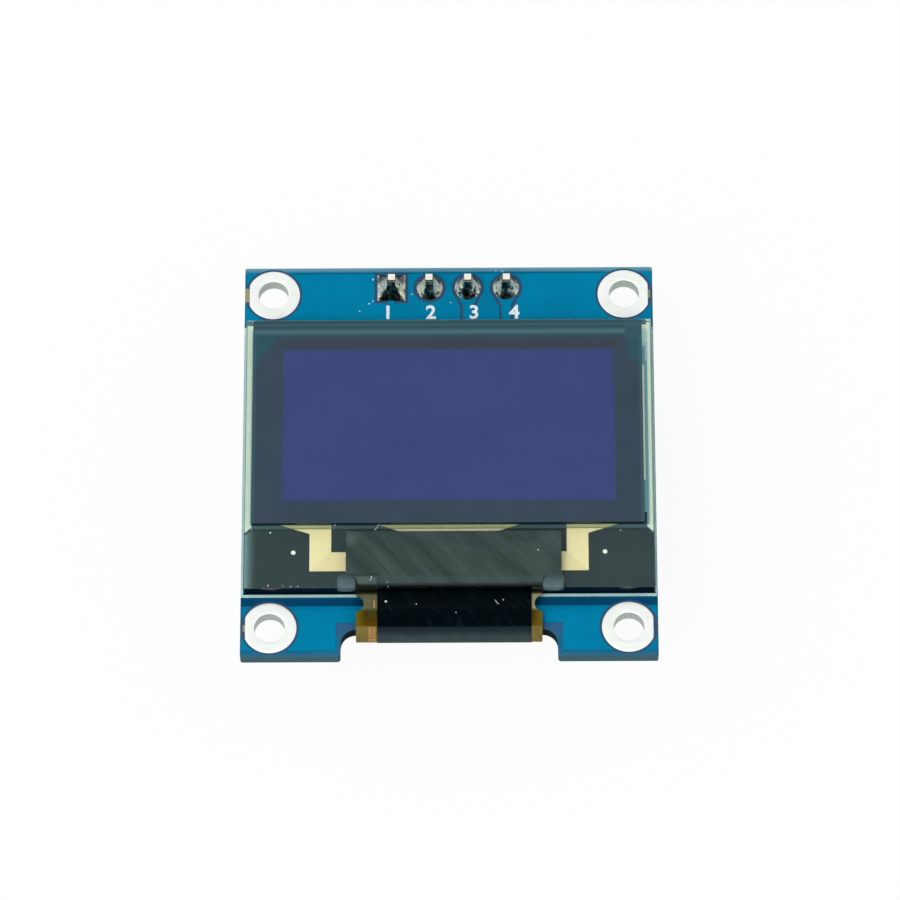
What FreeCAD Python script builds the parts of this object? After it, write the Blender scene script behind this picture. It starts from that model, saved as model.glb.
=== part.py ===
import math
import os

import FreeCAD
import Part

# A small OLED display module: a circuit board that carries a glass display panel on its front,
# a four-pin header along its upper side, and a flex that folds through a notch to the rear.
# Frame: millimetres, +Z out of the display, +Y towards the header.
# The origin is the centre of the four mounting holes, on the front face of the board.

# Display glass, which sets the size of the module
panel_width = 26.7
panel_height = 19.26
ledge_height = 4.26

# Board
board_side_margin = 0.2
board_top_margin = 4.52
board_bottom_margin = 4.22
board_thickness = 1.0
board_corner_radius = 0.3
notch_width = 14.1
notch_depth = 1.85
notch_corner_radius = 1.0

# Plated mounting holes
mount_inset_x = 1.9
mount_inset_y = 2.0
mount_bore = 2.0
mount_ring_diameter = 3.5
mount_ring_edge_margin = 0.32
plating_wall = 0.05
pad_thickness = 0.05

# Header
pin_count = 4
pin_pitch = 2.54
pin_width = 0.64
pin_tip_chamfer = 0.14
pin_stand_front = 1.66
pin_length_rear = 6.0
header_inset_y = 1.52
header_bore = 1.0
header_pad_diameter = 1.7
header_square_pad_width = 1.83
header_body_depth = 2.5
header_body_height = 2.54
header_body_chamfer = 0.45
solder_cone_height = 1.1
solder_cone_top_radius = 0.5
solder_cone_waist_radius = 0.6
solder_cone_waist_height = 0.35
solder_cone_margin = 0.05
solder_cone_steps = 2

# Display panel, from the board upwards
mounting_tape_thickness = 0.15
mounting_tape_inset = 1.2
cap_thickness = 0.55
cap_recess_depth = 0.25
cap_recess_rim = 1.4
seal_thickness = 0.05
seal_side_width = 0.6
seal_end_width = 1.1
seal_corner_chamfer = 1.6
seal_inset = 0.05
substrate_thickness = 0.65
polarizer_thickness = 0.2
polarizer_inset_side = 0.53
polarizer_inset_top = 0.15
polarizer_inset_bottom = 0.25
polarizer_shift_x = -0.08
matrix_inset_side = 2.478
matrix_inset_top = 2.048
matrix_inset_bottom = 2.088
matrix_thickness = 0.03
cathode_margin = 0.4
cathode_thickness = 0.03
drying_sheet_inset = 2.0
drying_sheet_thickness = 0.12

# Layers behind the ledge of the substrate
bond_line = 0.01
trace_thickness = 0.03
trace_lead_in = 0.72
bus_inset_side = 4.28
bus_width = 1.41
bus_foot_drop = 1.56
bus_foot_height = 1.34
fan_root_drop = 0.25
fan_slope_angle = 18.3
fan_inset_side = 1.35
centre_bundle_half_width = 3.29
centre_bundle_drop = 0.07
centre_bundle_slope_angle = 19.8
centre_bundle_foot_half_width = 3.0
align_mark_inset_side = 3.22
align_mark_drop = 1.58
align_mark_diameter = 0.32
mask_inset = 0.06
mask_chamfer_x = 0.5
mask_chamfer_y = 0.3
chip_width = 10.9
chip_height = 1.6
chip_thickness = 0.3
chip_drop = 0.88

# Flex
flex_side_gap = 1.01
flex_thickness = 0.08
flex_bond_reach = 1.18
flex_straight_reach = 0.12
flex_drop_radius = 3.0
flex_bend_gap = 0.05
flex_bend_radius = 0.77
flex_relief_diameter = 0.8
flex_relief_depth = 0.45
flex_relief_drop = 0.7
coverlay_inset_left = 1.38
coverlay_inset_right = 0.7
coverlay_thickness = 0.03
coverlay_reach = 0.63
coverlay_rear_gap = 0.3
bond_strip_height = 0.45
contact_count = 30
contact_pitch = 0.62
contact_width = 0.36
contact_length = 1.7
contact_thickness = 0.03
contact_solder_thickness = 0.06
contact_solder_toe = 0.5
tail_margin = 0.5
tail_neck_radius = 0.6
tail_neck_gap = 1.55
tail_height = 2.7

# Tape and glue on the front of the ledge
shield_tape_width = 14.0
shield_tape_height = 3.2
shield_tape_drop = 0.28
shield_tape_shift_x = 0.3
shield_tape_thickness = 0.05
glue_width = 1.45
glue_overhang = 0.17
glue_skin = 0.03
glue_corner_radius = 0.16

# Parts on the rear of the board
solder_seat = 0.05
resistor_count = 7
resistor_length = 1.6
resistor_width = 0.8
resistor_thickness = 0.45
resistor_cap_length = 0.3
resistor_row_inset = 4.85
resistor_row_drop = 12.8
capacitor_count = 8
capacitor_length = 1.6
capacitor_width = 0.8
capacitor_thickness = 0.8
capacitor_cap_length = 0.35
capacitor_row_inset = 4.1
capacitor_row_drop = 17.6
chip_cap_skin = 0.02
chip_solder_toe = 0.3
regulator_inset_x = 7.05
regulator_drop = 7.8
regulator_body_length = 2.9
regulator_body_width = 1.3
regulator_body_thickness = 1.0
regulator_standoff = 0.1
regulator_span = 2.4
regulator_lead_pitch = 0.95
regulator_lead_width = 0.4
regulator_lead_thickness = 0.12
diode_inset_x = 7.05
diode_drop = 7.8
diode_body_length = 2.7
diode_body_width = 1.6
diode_body_thickness = 1.0
diode_standoff = 0.08
diode_span = 3.7
diode_lead_width = 0.6
diode_lead_thickness = 0.12
mould_draft = 0.12
lead_shoulder = 0.15
lead_bend_radius = 0.12
lead_seat_gap = 0.2

# Board edges, worked out from the glass and the margins
board_width = panel_width + 2 * board_side_margin
board_height = panel_height + board_top_margin + board_bottom_margin
board_side_x = board_width / 2
board_top_y = board_height / 2
board_bottom_y = -board_height / 2
notch_top_y = board_bottom_y + notch_depth
header_row_y = board_top_y - header_inset_y
header_start_x = -pin_pitch * (pin_count - 1) / 2

# Panel edges
panel_side_x = panel_width / 2
panel_top_y = board_top_y - board_top_margin
panel_bottom_y = board_bottom_y + board_bottom_margin
cap_bottom_y = panel_bottom_y + ledge_height
cap_centre_y = (panel_top_y + cap_bottom_y) / 2
bus_outer_x = panel_side_x - bus_inset_side
bus_inner_x = bus_outer_x - bus_width
bus_foot_top_y = cap_bottom_y - bus_foot_drop
bus_foot_bottom_y = bus_foot_top_y - bus_foot_height
chip_top_y = cap_bottom_y - chip_drop
chip_bottom_y = chip_top_y - chip_height
shield_tape_top_y = cap_bottom_y - shield_tape_drop
glue_top_y = shield_tape_top_y - shield_tape_height

# Levels of the stack
board_rear_z = -board_thickness
cap_rear_z = mounting_tape_thickness
cap_front_z = cap_rear_z + cap_thickness
substrate_rear_z = cap_front_z + seal_thickness
substrate_front_z = substrate_rear_z + substrate_thickness
layer_front_z = substrate_rear_z - bond_line
layer_rear_z = layer_front_z - trace_thickness

# The run of the flex
flex_width = notch_width - 2 * flex_side_gap
flex_start_y = panel_bottom_y + flex_bond_reach
flex_straight_end_y = panel_bottom_y - flex_straight_reach
flex_front_z = layer_rear_z
flex_middle_z = flex_front_z - flex_thickness / 2
tail_front_z = board_rear_z - contact_solder_thickness
tail_middle_z = tail_front_z - flex_thickness / 2
tail_width = contact_pitch * contact_count + 2 * tail_margin
tail_front_y = notch_top_y + tail_neck_gap
tail_end_y = tail_front_y + tail_height
coverlay_start_y = panel_bottom_y + coverlay_reach
coverlay_end_y = tail_front_y + coverlay_rear_gap


def block(x_range, y_range, z_range):
    """A box between two limits on each axis."""
    corner = FreeCAD.Vector(x_range[0], y_range[0], z_range[0])
    size_x = x_range[1] - x_range[0]
    size_y = y_range[1] - y_range[0]
    size_z = z_range[1] - z_range[0]
    return Part.makeBox(size_x, size_y, size_z, corner)


def centred(middle, size):
    """The two limits of a size that is centred on a value."""
    return middle - size / 2, middle + size / 2


def rod(x, y, z_range, diameter):
    """A round bar along Z."""
    base = FreeCAD.Vector(x, y, z_range[0])
    return Part.makeCylinder(diameter / 2, z_range[1] - z_range[0], base)


def plate(points, z_range):
    """A flat plate from its outline in X and Y."""
    corners = [FreeCAD.Vector(x, y, z_range[0]) for x, y in points]
    outline = Part.makePolygon(corners + corners[:1])
    return Part.Face(outline).extrude(FreeCAD.Vector(0, 0, z_range[1] - z_range[0]))


def mirrored(shape):
    """The same shape on the other side of the middle plane."""
    return shape.mirror(FreeCAD.Vector(0, 0, 0), FreeCAD.Vector(1, 0, 0))


def moved(shape, x, y, z=0.0):
    """A copy of the shape, shifted."""
    copy = shape.copy()
    copy.translate(FreeCAD.Vector(x, y, z))
    return copy


def upright_edges(shape, places):
    """The edges along Z that stand at the given X and Y places."""
    found = []
    for edge in shape.Edges:
        first = edge.Vertexes[0].Point
        last = edge.Vertexes[-1].Point
        if math.hypot(first.x - last.x, first.y - last.y) > 1e-6:
            continue
        if any(math.hypot(first.x - x, first.y - y) < 1e-4 for x, y in places):
            found.append(edge)
    return found


def export(node, shape):
    """One file for each node."""
    shape.exportStep(os.path.join("parts", node + ".step"))


def mount_places():
    """The centres of the four mounting holes."""
    half_x = board_side_x - mount_inset_x
    half_y = board_top_y - mount_inset_y
    return [(-half_x, half_y), (half_x, half_y), (half_x, -half_y), (-half_x, -half_y)]


def pin_places():
    """The centres of the header pins, from pin 1."""
    return [(header_start_x + i * pin_pitch, header_row_y) for i in range(pin_count)]


def make_board():
    """The board with its notch, its corner holes and its header holes."""
    thickness = (board_rear_z, 0.0)
    board = block(centred(0.0, board_width), centred(0.0, board_height), thickness)
    corners = [(x, y) for x in (-board_side_x, board_side_x) for y in (board_bottom_y, board_top_y)]
    board = board.makeFillet(board_corner_radius, upright_edges(board, corners))

    notch_y = (board_bottom_y - notch_depth, notch_top_y)
    notch = block(centred(0.0, notch_width), notch_y, thickness)
    inner = [(-notch_width / 2, notch_top_y), (notch_width / 2, notch_top_y)]
    notch = notch.makeFillet(notch_corner_radius, upright_edges(notch, inner))
    board = board.cut(notch)
    mouth = [(-notch_width / 2, board_bottom_y), (notch_width / 2, board_bottom_y)]
    board = board.makeFillet(board_corner_radius, upright_edges(board, mouth))

    for x, y in mount_places():
        board = board.cut(rod(x, y, thickness, mount_bore + 2 * plating_wall))
    for x, y in pin_places():
        board = board.cut(rod(x, y, thickness, header_bore + 2 * plating_wall))
    return board


def plated_hole(bore, flange_diameter):
    """A plated sleeve with a round flange on both faces of the board, turned about Z."""
    inner = bore / 2
    outer = inner + plating_wall
    rim = flange_diameter / 2
    section = [
        (inner, pad_thickness),
        (rim, pad_thickness),
        (rim, 0.0),
        (outer, 0.0),
        (outer, board_rear_z),
        (rim, board_rear_z),
        (rim, board_rear_z - pad_thickness),
        (inner, board_rear_z - pad_thickness),
    ]
    corners = [FreeCAD.Vector(r, 0, z) for r, z in section]
    face = Part.Face(Part.makePolygon(corners + corners[:1]))
    return face.revolve(FreeCAD.Vector(0, 0, 0), FreeCAD.Vector(0, 0, 1), 360)


def square_plated_hole(bore, sleeve_flange, side):
    """The plated hole of pin 1, whose pads are square."""
    sleeve = plated_hole(bore, sleeve_flange)
    levels = [(0.0, pad_thickness), (board_rear_z - pad_thickness, board_rear_z)]
    for level in levels:
        pad = block(centred(0.0, side), centred(0.0, side), level)
        pad = pad.cut(rod(0.0, 0.0, level, bore))
        sleeve = sleeve.fuse(pad)
    return sleeve.removeSplitter()


def make_mount_ring(x, y):
    """A mounting ring, cut off straight where it would come too near the side of the board."""
    ring = moved(plated_hole(mount_bore, mount_ring_diameter), x, y)
    reach = board_side_x - mount_ring_edge_margin
    height = (board_rear_z - pad_thickness, pad_thickness)
    window = block((-reach, reach), centred(y, 2 * mount_ring_diameter), height)
    return ring.common(window)


def make_pin():
    """A square header pin with chamfered ends."""
    top = pin_stand_front
    bottom = board_rear_z - pad_thickness - header_body_height - pin_length_rear
    pin = block(centred(0.0, pin_width), centred(0.0, pin_width), (bottom, top))
    ends = []
    for edge in pin.Edges:
        levels = [vertex.Point.z for vertex in edge.Vertexes]
        if abs(levels[0] - levels[1]) < 1e-6:
            ends.append(edge)
    return pin.makeChamfer(pin_tip_chamfer, ends)


def make_header_body():
    """The moulded strip on the rear: one eight-sided cell for each pin, in a row."""
    top = board_rear_z - pad_thickness
    bottom = top - header_body_height
    half_x = pin_pitch / 2
    half_y = header_body_depth / 2
    cut = header_body_chamfer
    cell_outline = [
        (-half_x, half_y - cut),
        (-half_x + cut, half_y),
        (half_x - cut, half_y),
        (half_x, half_y - cut),
        (half_x, -half_y + cut),
        (half_x - cut, -half_y),
        (-half_x + cut, -half_y),
        (-half_x, -half_y + cut),
    ]
    cell = plate(cell_outline, (bottom, top))
    cell = cell.cut(block(centred(0.0, pin_width), centred(0.0, pin_width), (bottom, top)))
    body = None
    for x, y in pin_places():
        piece = moved(cell, x, y)
        body = piece if body is None else body.fuse(piece)
    return body.removeSplitter()


def make_solder_joint():
    """Solder that fills the plated hole and climbs the pin in a hollow-sided cone."""
    foot = header_pad_diameter / 2 - solder_cone_margin
    top = pad_thickness + solder_cone_height
    middle = pad_thickness + solder_cone_waist_height
    bore = header_bore / 2
    start = FreeCAD.Vector(foot, 0, pad_thickness)
    waist = FreeCAD.Vector(solder_cone_waist_radius, 0, middle)
    tip = FreeCAD.Vector(solder_cone_top_radius, 0, top)
    side = Part.Arc(start, waist, tip).toShape().discretize(solder_cone_steps + 1)
    straight = [
        FreeCAD.Vector(0, 0, top),
        FreeCAD.Vector(0, 0, board_rear_z),
        FreeCAD.Vector(bore, 0, board_rear_z),
        FreeCAD.Vector(bore, 0, pad_thickness),
        side[0],
    ]
    face = Part.Face(Part.makePolygon(side + straight))
    joint = face.revolve(FreeCAD.Vector(0, 0, 0), FreeCAD.Vector(0, 0, 1), 360)
    hole = block(centred(0.0, pin_width), centred(0.0, pin_width), (board_rear_z, top))
    return joint.cut(hole)


def make_mounting_tape():
    """The double-sided tape that holds the cap glass to the board."""
    width = panel_width - 2 * mounting_tape_inset
    y_range = (cap_bottom_y + mounting_tape_inset, panel_top_y - mounting_tape_inset)
    return block(centred(0.0, width), y_range, (0.0, cap_rear_z))


def make_cap_glass():
    """The rear glass, etched hollow behind the pixels."""
    levels = (cap_rear_z, cap_front_z)
    cap = block(centred(0.0, panel_width), (cap_bottom_y, panel_top_y), levels)
    recess_x = centred(0.0, panel_width - 2 * cap_recess_rim)
    recess_y = (cap_bottom_y + cap_recess_rim, panel_top_y - cap_recess_rim)
    return cap.cut(block(recess_x, recess_y, (cap_front_z - cap_recess_depth, cap_front_z)))


def make_drying_sheet():
    """The drying sheet on the floor of the cap's recess."""
    floor_z = cap_front_z - cap_recess_depth
    inset = cap_recess_rim + drying_sheet_inset
    y_range = (cap_bottom_y + inset, panel_top_y - inset)
    levels = (floor_z, floor_z + drying_sheet_thickness)
    return block(centred(0.0, panel_width - 2 * inset), y_range, levels)


def make_seal_frame(traces):
    """The glue frame between the two glasses, which closes around the traces."""
    half_x = panel_side_x - seal_inset
    top = panel_top_y - seal_inset
    bottom = cap_bottom_y + seal_inset
    levels = (cap_front_z, substrate_rear_z)
    frame = block((-half_x, half_x), (bottom, top), levels)
    inner_x = half_x - seal_side_width
    inner_top = top - seal_end_width
    inner_bottom = bottom + seal_end_width
    opening = [
        (-inner_x, inner_bottom),
        (inner_x, inner_bottom),
        (inner_x, inner_top - seal_corner_chamfer),
        (inner_x - seal_corner_chamfer, inner_top),
        (-inner_x + seal_corner_chamfer, inner_top),
        (-inner_x, inner_top - seal_corner_chamfer),
    ]
    return frame.cut(plate(opening, levels)).cut(traces)


def make_substrate():
    """The front glass, longer than the cap glass by the ledge."""
    levels = (substrate_rear_z, substrate_front_z)
    return block(centred(0.0, panel_width), (panel_bottom_y, panel_top_y), levels)


def make_polarizer():
    """The dark polarizer film on the front glass."""
    width = panel_width - 2 * polarizer_inset_side
    y_range = (cap_bottom_y + polarizer_inset_bottom, panel_top_y - polarizer_inset_top)
    levels = (substrate_front_z, substrate_front_z + polarizer_thickness)
    return block(centred(polarizer_shift_x, width), y_range, levels)


def matrix_area(margin):
    """The limits of the pixel area in X and Y, widened by a margin."""
    half_x = panel_side_x - matrix_inset_side + margin
    bottom = cap_bottom_y + matrix_inset_bottom - margin
    top = panel_top_y - matrix_inset_top + margin
    return (-half_x, half_x), (bottom, top)


def make_matrix():
    """The lit area of pixels on the rear of the front glass."""
    x_range, y_range = matrix_area(0.0)
    return block(x_range, y_range, (substrate_rear_z - matrix_thickness, substrate_rear_z))


def make_cathode():
    """The metal sheet behind the pixels, a little larger than they are."""
    x_range, y_range = matrix_area(cathode_margin)
    front = substrate_rear_z - matrix_thickness
    return block(x_range, y_range, (front - cathode_thickness, front))


def make_traces():
    """The trace bundles on the ledge: one to each end of the chip, one to its middle, two marks."""
    levels = (layer_rear_z, layer_front_z)
    top_y = cap_bottom_y + trace_lead_in
    fan_root_y = cap_bottom_y - fan_root_drop
    fan_run = (top_y - fan_root_y) / math.tan(math.radians(fan_slope_angle))
    fan_top_x = min(bus_outer_x + fan_run, panel_side_x - fan_inset_side)
    side_bundle = [
        (bus_outer_x, fan_root_y),
        (fan_top_x, top_y),
        (bus_inner_x, top_y),
        (bus_inner_x, bus_foot_top_y),
        (chip_width / 2, bus_foot_top_y),
        (chip_width / 2, bus_foot_bottom_y),
        (bus_outer_x, bus_foot_bottom_y),
    ]
    centre_y = cap_bottom_y - centre_bundle_drop
    spread = (top_y - centre_y) / math.tan(math.radians(centre_bundle_slope_angle))
    top_half = centre_bundle_half_width + spread
    centre_bundle = [
        (top_half, top_y),
        (-top_half, top_y),
        (-centre_bundle_half_width, centre_y),
        (-centre_bundle_foot_half_width, chip_top_y),
        (centre_bundle_foot_half_width, chip_top_y),
        (centre_bundle_half_width, centre_y),
    ]
    right = plate(side_bundle, levels)
    mark_x = panel_side_x - align_mark_inset_side
    mark = rod(mark_x, cap_bottom_y - align_mark_drop, levels, align_mark_diameter)
    middle = plate(centre_bundle, levels)
    return Part.makeCompound([right, mirrored(right), middle, mark, mirrored(mark)])


def make_mask(traces, chip):
    """The dark mask behind the ledge, open where the traces, the chip and the flex lie."""
    half_x = panel_side_x - mask_inset
    top = cap_bottom_y - mask_inset / 2
    bottom = panel_bottom_y + mask_inset
    outline = [
        (-half_x, bottom),
        (half_x, bottom),
        (half_x, top - mask_chamfer_y),
        (half_x - mask_chamfer_x, top),
        (-half_x + mask_chamfer_x, top),
        (-half_x, top - mask_chamfer_y),
    ]
    mask = plate(outline, (layer_rear_z, layer_front_z))
    flex_window = block(
        centred(0.0, flex_width),
        (bottom - mask_inset, flex_start_y),
        (layer_rear_z, layer_front_z),
    )
    return mask.cut(traces).cut(chip).cut(flex_window)


def make_chip():
    """The driver chip, face down on the rear of the ledge."""
    levels = (layer_front_z - chip_thickness, layer_front_z)
    return block(centred(0.0, chip_width), (chip_bottom_y, chip_top_y), levels)


def walk(start, heading, steps, offset):
    """Edges of a path in the YZ plane that runs beside a middle line at a fixed offset.

    The path starts at (y, z) with a heading in degrees, and each step is ("line", length) or
    ("turn", radius, degrees), where positive degrees turn to the left.
    The offset is measured to the left of the middle line.
    """
    y, z = start
    angle = math.radians(heading)
    edges = []
    for step in steps:
        left = (-math.sin(angle), math.cos(angle))
        if step[0] == "line":
            end_y = y + step[1] * math.cos(angle)
            end_z = z + step[1] * math.sin(angle)
            first = FreeCAD.Vector(0, y + offset * left[0], z + offset * left[1])
            last = FreeCAD.Vector(0, end_y + offset * left[0], end_z + offset * left[1])
            edges.append(Part.makeLine(first, last))
            y, z = end_y, end_z
            continue
        radius, sweep = step[1], math.radians(step[2])
        side = math.copysign(1.0, sweep)
        centre_y = y + side * radius * left[0]
        centre_z = z + side * radius * left[1]
        reach = radius - side * offset
        spokes = []
        for share in (0.0, 0.5, 1.0):
            turned = angle + share * sweep - side * math.pi / 2
            spoke_y = centre_y + reach * math.cos(turned)
            spoke_z = centre_z + reach * math.sin(turned)
            spokes.append(FreeCAD.Vector(0, spoke_y, spoke_z))
        edges.append(Part.Arc(*spokes).toShape())
        angle += sweep
        turned = angle - side * math.pi / 2
        y = centre_y + radius * math.cos(turned)
        z = centre_z + radius * math.sin(turned)
    return edges


def bent_strip(start, heading, steps, offsets, x_range):
    """A strip of constant thickness that follows a path, between two offsets from its middle."""
    near = Part.Wire(walk(start, heading, steps, offsets[0]))
    far = Part.Wire(walk(start, heading, steps, offsets[1]))
    near_ends = near.OrderedVertexes
    far_ends = far.OrderedVertexes
    front = Part.makeLine(near_ends[0].Point, far_ends[0].Point)
    back = Part.makeLine(near_ends[-1].Point, far_ends[-1].Point)
    section = Part.Face(Part.Wire(Part.__sortEdges__([*near.Edges, back, *far.Edges, front])))
    strip = section.extrude(FreeCAD.Vector(x_range[1] - x_range[0], 0, 0))
    return moved(strip, x_range[0], 0.0)


def flex_steps(start_y, end_y):
    """The path of the flex: level under the glass, an easy drop, round the notch, along the rear."""
    bend_middle_z = tail_middle_z + flex_bend_radius
    bend_inner_radius = flex_bend_radius - flex_thickness / 2
    edge_reach = bend_middle_z - board_rear_z + flex_bend_gap
    bend_centre_y = notch_top_y + math.sqrt(bend_inner_radius**2 - edge_reach**2)
    bend_top_z = tail_middle_z + 2 * flex_bend_radius
    drop = flex_middle_z - bend_top_z
    turn = math.acos(1 - drop / (2 * flex_drop_radius))
    run = 2 * flex_drop_radius * math.sin(turn)
    level = start_y - flex_straight_end_y
    rest = flex_straight_end_y - run - bend_centre_y
    return [
        ("line", level),
        ("turn", flex_drop_radius, math.degrees(turn)),
        ("turn", flex_drop_radius, -math.degrees(turn)),
        ("line", rest),
        ("turn", flex_bend_radius, 180.0),
        ("line", end_y - bend_centre_y),
    ]


def make_tail():
    """The wide end of the flex, with rounded necks where it leaves the narrow part."""
    levels = (tail_front_z - flex_thickness, tail_front_z)
    tail = block(centred(0.0, tail_width), (tail_front_y, tail_end_y), levels)
    neck_y = (tail_front_y - tail_neck_radius, tail_front_y)
    neck = block(centred(0.0, flex_width + 2 * tail_neck_radius), neck_y, levels)
    for side in (-1, 1):
        x = side * (flex_width / 2 + tail_neck_radius)
        neck = neck.cut(rod(x, neck_y[0], levels, 2 * tail_neck_radius))
    return tail.fuse(neck)


def make_flex_film():
    """The amber film, from the ledge round the notch to the wide tail on the rear."""
    half = flex_thickness / 2
    steps = flex_steps(flex_start_y, tail_front_y)
    start = (flex_start_y, flex_middle_z)
    film = bent_strip(start, 180.0, steps, (-half, half), centred(0.0, flex_width))
    film = film.fuse(make_tail()).removeSplitter()
    bite_x = flex_width / 2 - flex_relief_depth + flex_relief_diameter / 2
    bite_y = panel_bottom_y - flex_relief_drop
    for side in (-1, 1):
        bite = rod(side * bite_x, bite_y, (0.0, substrate_rear_z), flex_relief_diameter)
        film = film.cut(bite)
    return film


def make_coverlay():
    """The black cover layer on the outer face of the film."""
    half = flex_thickness / 2
    steps = flex_steps(coverlay_start_y, coverlay_end_y)
    start = (coverlay_start_y, flex_middle_z)
    outer = (-half - coverlay_thickness, -half)
    x_range = (-flex_width / 2 + coverlay_inset_left, flex_width / 2 - coverlay_inset_right)
    return bent_strip(start, 180.0, steps, outer, x_range)


def make_bond_strip():
    """The conductive strip that joins the film to the glass."""
    levels = (flex_front_z, layer_front_z)
    return block(centred(0.0, flex_width), (flex_start_y - bond_strip_height, flex_start_y), levels)


def contact_places():
    """The middle of each contact of the tail."""
    start = -contact_pitch * (contact_count - 1) / 2
    return [start + i * contact_pitch for i in range(contact_count)]


def make_contacts():
    """The tinned contacts on the rear face of the tail."""
    rear = tail_front_z - flex_thickness
    finger = block(
        centred(0.0, contact_width),
        (tail_end_y - contact_length, tail_end_y),
        (rear - contact_thickness, rear),
    )
    return Part.makeCompound([moved(finger, x, 0.0) for x in contact_places()])


def make_contact_solder():
    """The solder under each contact, which rises in a wedge past the end of the film."""
    rear = tail_front_z - flex_thickness
    section = [
        (tail_end_y - contact_length, board_rear_z),
        (tail_end_y - contact_length, tail_front_z),
        (tail_end_y, tail_front_z),
        (tail_end_y, rear),
        (tail_end_y + contact_solder_toe * 0.4, rear + flex_thickness * 0.4),
        (tail_end_y + contact_solder_toe, board_rear_z),
    ]
    corners = [FreeCAD.Vector(-contact_width / 2, y, z) for y, z in section]
    face = Part.Face(Part.makePolygon(corners + corners[:1]))
    bead = face.extrude(FreeCAD.Vector(contact_width, 0, 0))
    return Part.makeCompound([moved(bead, x, 0.0) for x in contact_places()])


def make_shield_tape():
    """The grey tape on the front of the ledge, over the chip."""
    levels = (substrate_front_z, substrate_front_z + shield_tape_thickness)
    tape_y = (shield_tape_top_y - shield_tape_height, shield_tape_top_y)
    return block(centred(shield_tape_shift_x, shield_tape_width), tape_y, levels)


def make_glue_tab():
    """The right glue tab: a thin skin on the ledge that laps over its lower edge."""
    lower = panel_bottom_y - glue_overhang
    outer_x = flex_width / 2 + glue_width
    x_range = (flex_width / 2, outer_x)
    levels = (layer_rear_z, substrate_front_z + glue_skin)
    tab = block(x_range, (lower, glue_top_y), levels)
    tab = tab.makeFillet(glue_corner_radius, upright_edges(tab, [(outer_x, lower)]))
    return tab.cut(block(x_range, (panel_bottom_y, glue_top_y), (layer_rear_z, substrate_front_z)))


def chip_part(length, width, thickness, cap_length):
    """A chip resistor or capacitor along Y: its body and its two metal ends."""
    top = board_rear_z - solder_seat
    bottom = top - thickness
    body_y = centred(0.0, length - 2 * cap_length)
    body_z = (bottom + chip_cap_skin, top - chip_cap_skin)
    body = block(centred(0.0, width - 2 * chip_cap_skin), body_y, body_z)
    cap_low = block(centred(0.0, width), (-length / 2, body_y[0]), (bottom, top))
    cap_high = block(centred(0.0, width), (body_y[1], length / 2), (bottom, top))
    return Part.makeCompound([body, cap_low, cap_high])


def chip_solder(length, width, thickness, cap_length):
    """The solder at both ends of a chip part: a seat below the end, and a wedge against it."""
    rise = board_rear_z - solder_seat - thickness * 0.5
    section = [
        (length / 2 - cap_length, board_rear_z),
        (length / 2 - cap_length, board_rear_z - solder_seat),
        (length / 2, board_rear_z - solder_seat),
        (length / 2, rise),
        (length / 2 + chip_solder_toe, board_rear_z),
    ]
    corners = [FreeCAD.Vector(-width / 2, y, z) for y, z in section]
    face = Part.Face(Part.makePolygon(corners + corners[:1]))
    wedge = face.extrude(FreeCAD.Vector(width, 0, 0))
    other = wedge.mirror(FreeCAD.Vector(0, 0, 0), FreeCAD.Vector(0, 1, 0))
    return [wedge, other]


def row_places(count, inset, drop):
    """Evenly spaced places in a row, between insets from both sides of the board."""
    start = -board_side_x + inset
    pitch = (board_width - 2 * inset) / (count - 1)
    return [(start + i * pitch, board_top_y - drop) for i in range(count)]


def moulded_body(length, width, thickness, standoff):
    """A moulded body that tapers from its parting line to both faces."""
    top = board_rear_z - solder_seat - standoff
    levels = [top, top - thickness / 2, top - thickness]
    insets = [mould_draft, 0.0, mould_draft]
    wires = []
    for level, inset in zip(levels, insets):
        half_x = length / 2 - inset
        half_y = width / 2 - inset
        corners = [
            FreeCAD.Vector(-half_x, -half_y, level),
            FreeCAD.Vector(half_x, -half_y, level),
            FreeCAD.Vector(half_x, half_y, level),
            FreeCAD.Vector(-half_x, half_y, level),
        ]
        wires.append(Part.makePolygon(corners + corners[:1]))
    return Part.makeLoft(wires, True, True)


def gull_lead(body_width, body_thickness, standoff, span, lead_width, lead_thickness):
    """A lead that leaves the body at its parting line, turns to the board and runs out flat."""
    middle = board_rear_z - solder_seat - standoff - body_thickness / 2
    foot = board_rear_z - solder_seat - lead_thickness / 2
    rise = foot - middle
    fall = rise - 2 * lead_bend_radius
    toe = (span - body_width) / 2 - lead_shoulder - 2 * lead_bend_radius
    steps = [
        ("line", lead_shoulder),
        ("turn", lead_bend_radius, 90.0),
        ("line", fall),
        ("turn", lead_bend_radius, -90.0),
        ("line", toe),
    ]
    half = lead_thickness / 2
    return bent_strip((body_width / 2, middle), 0.0, steps, (-half, half), centred(0.0, lead_width))


def lead_seat(span, body_width, lead_width):
    """The solder below the foot of a lead."""
    outer = span / 2 + chip_solder_toe / 2
    inner = body_width / 2 + lead_seat_gap
    return block(centred(0.0, lead_width), (inner, outer), (board_rear_z - solder_seat, board_rear_z))


def turned_about(shape, degrees):
    """A copy of the shape, turned about the Z axis."""
    copy = shape.copy()
    copy.rotate(FreeCAD.Vector(0, 0, 0), FreeCAD.Vector(0, 0, 1), degrees)
    return copy


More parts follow.
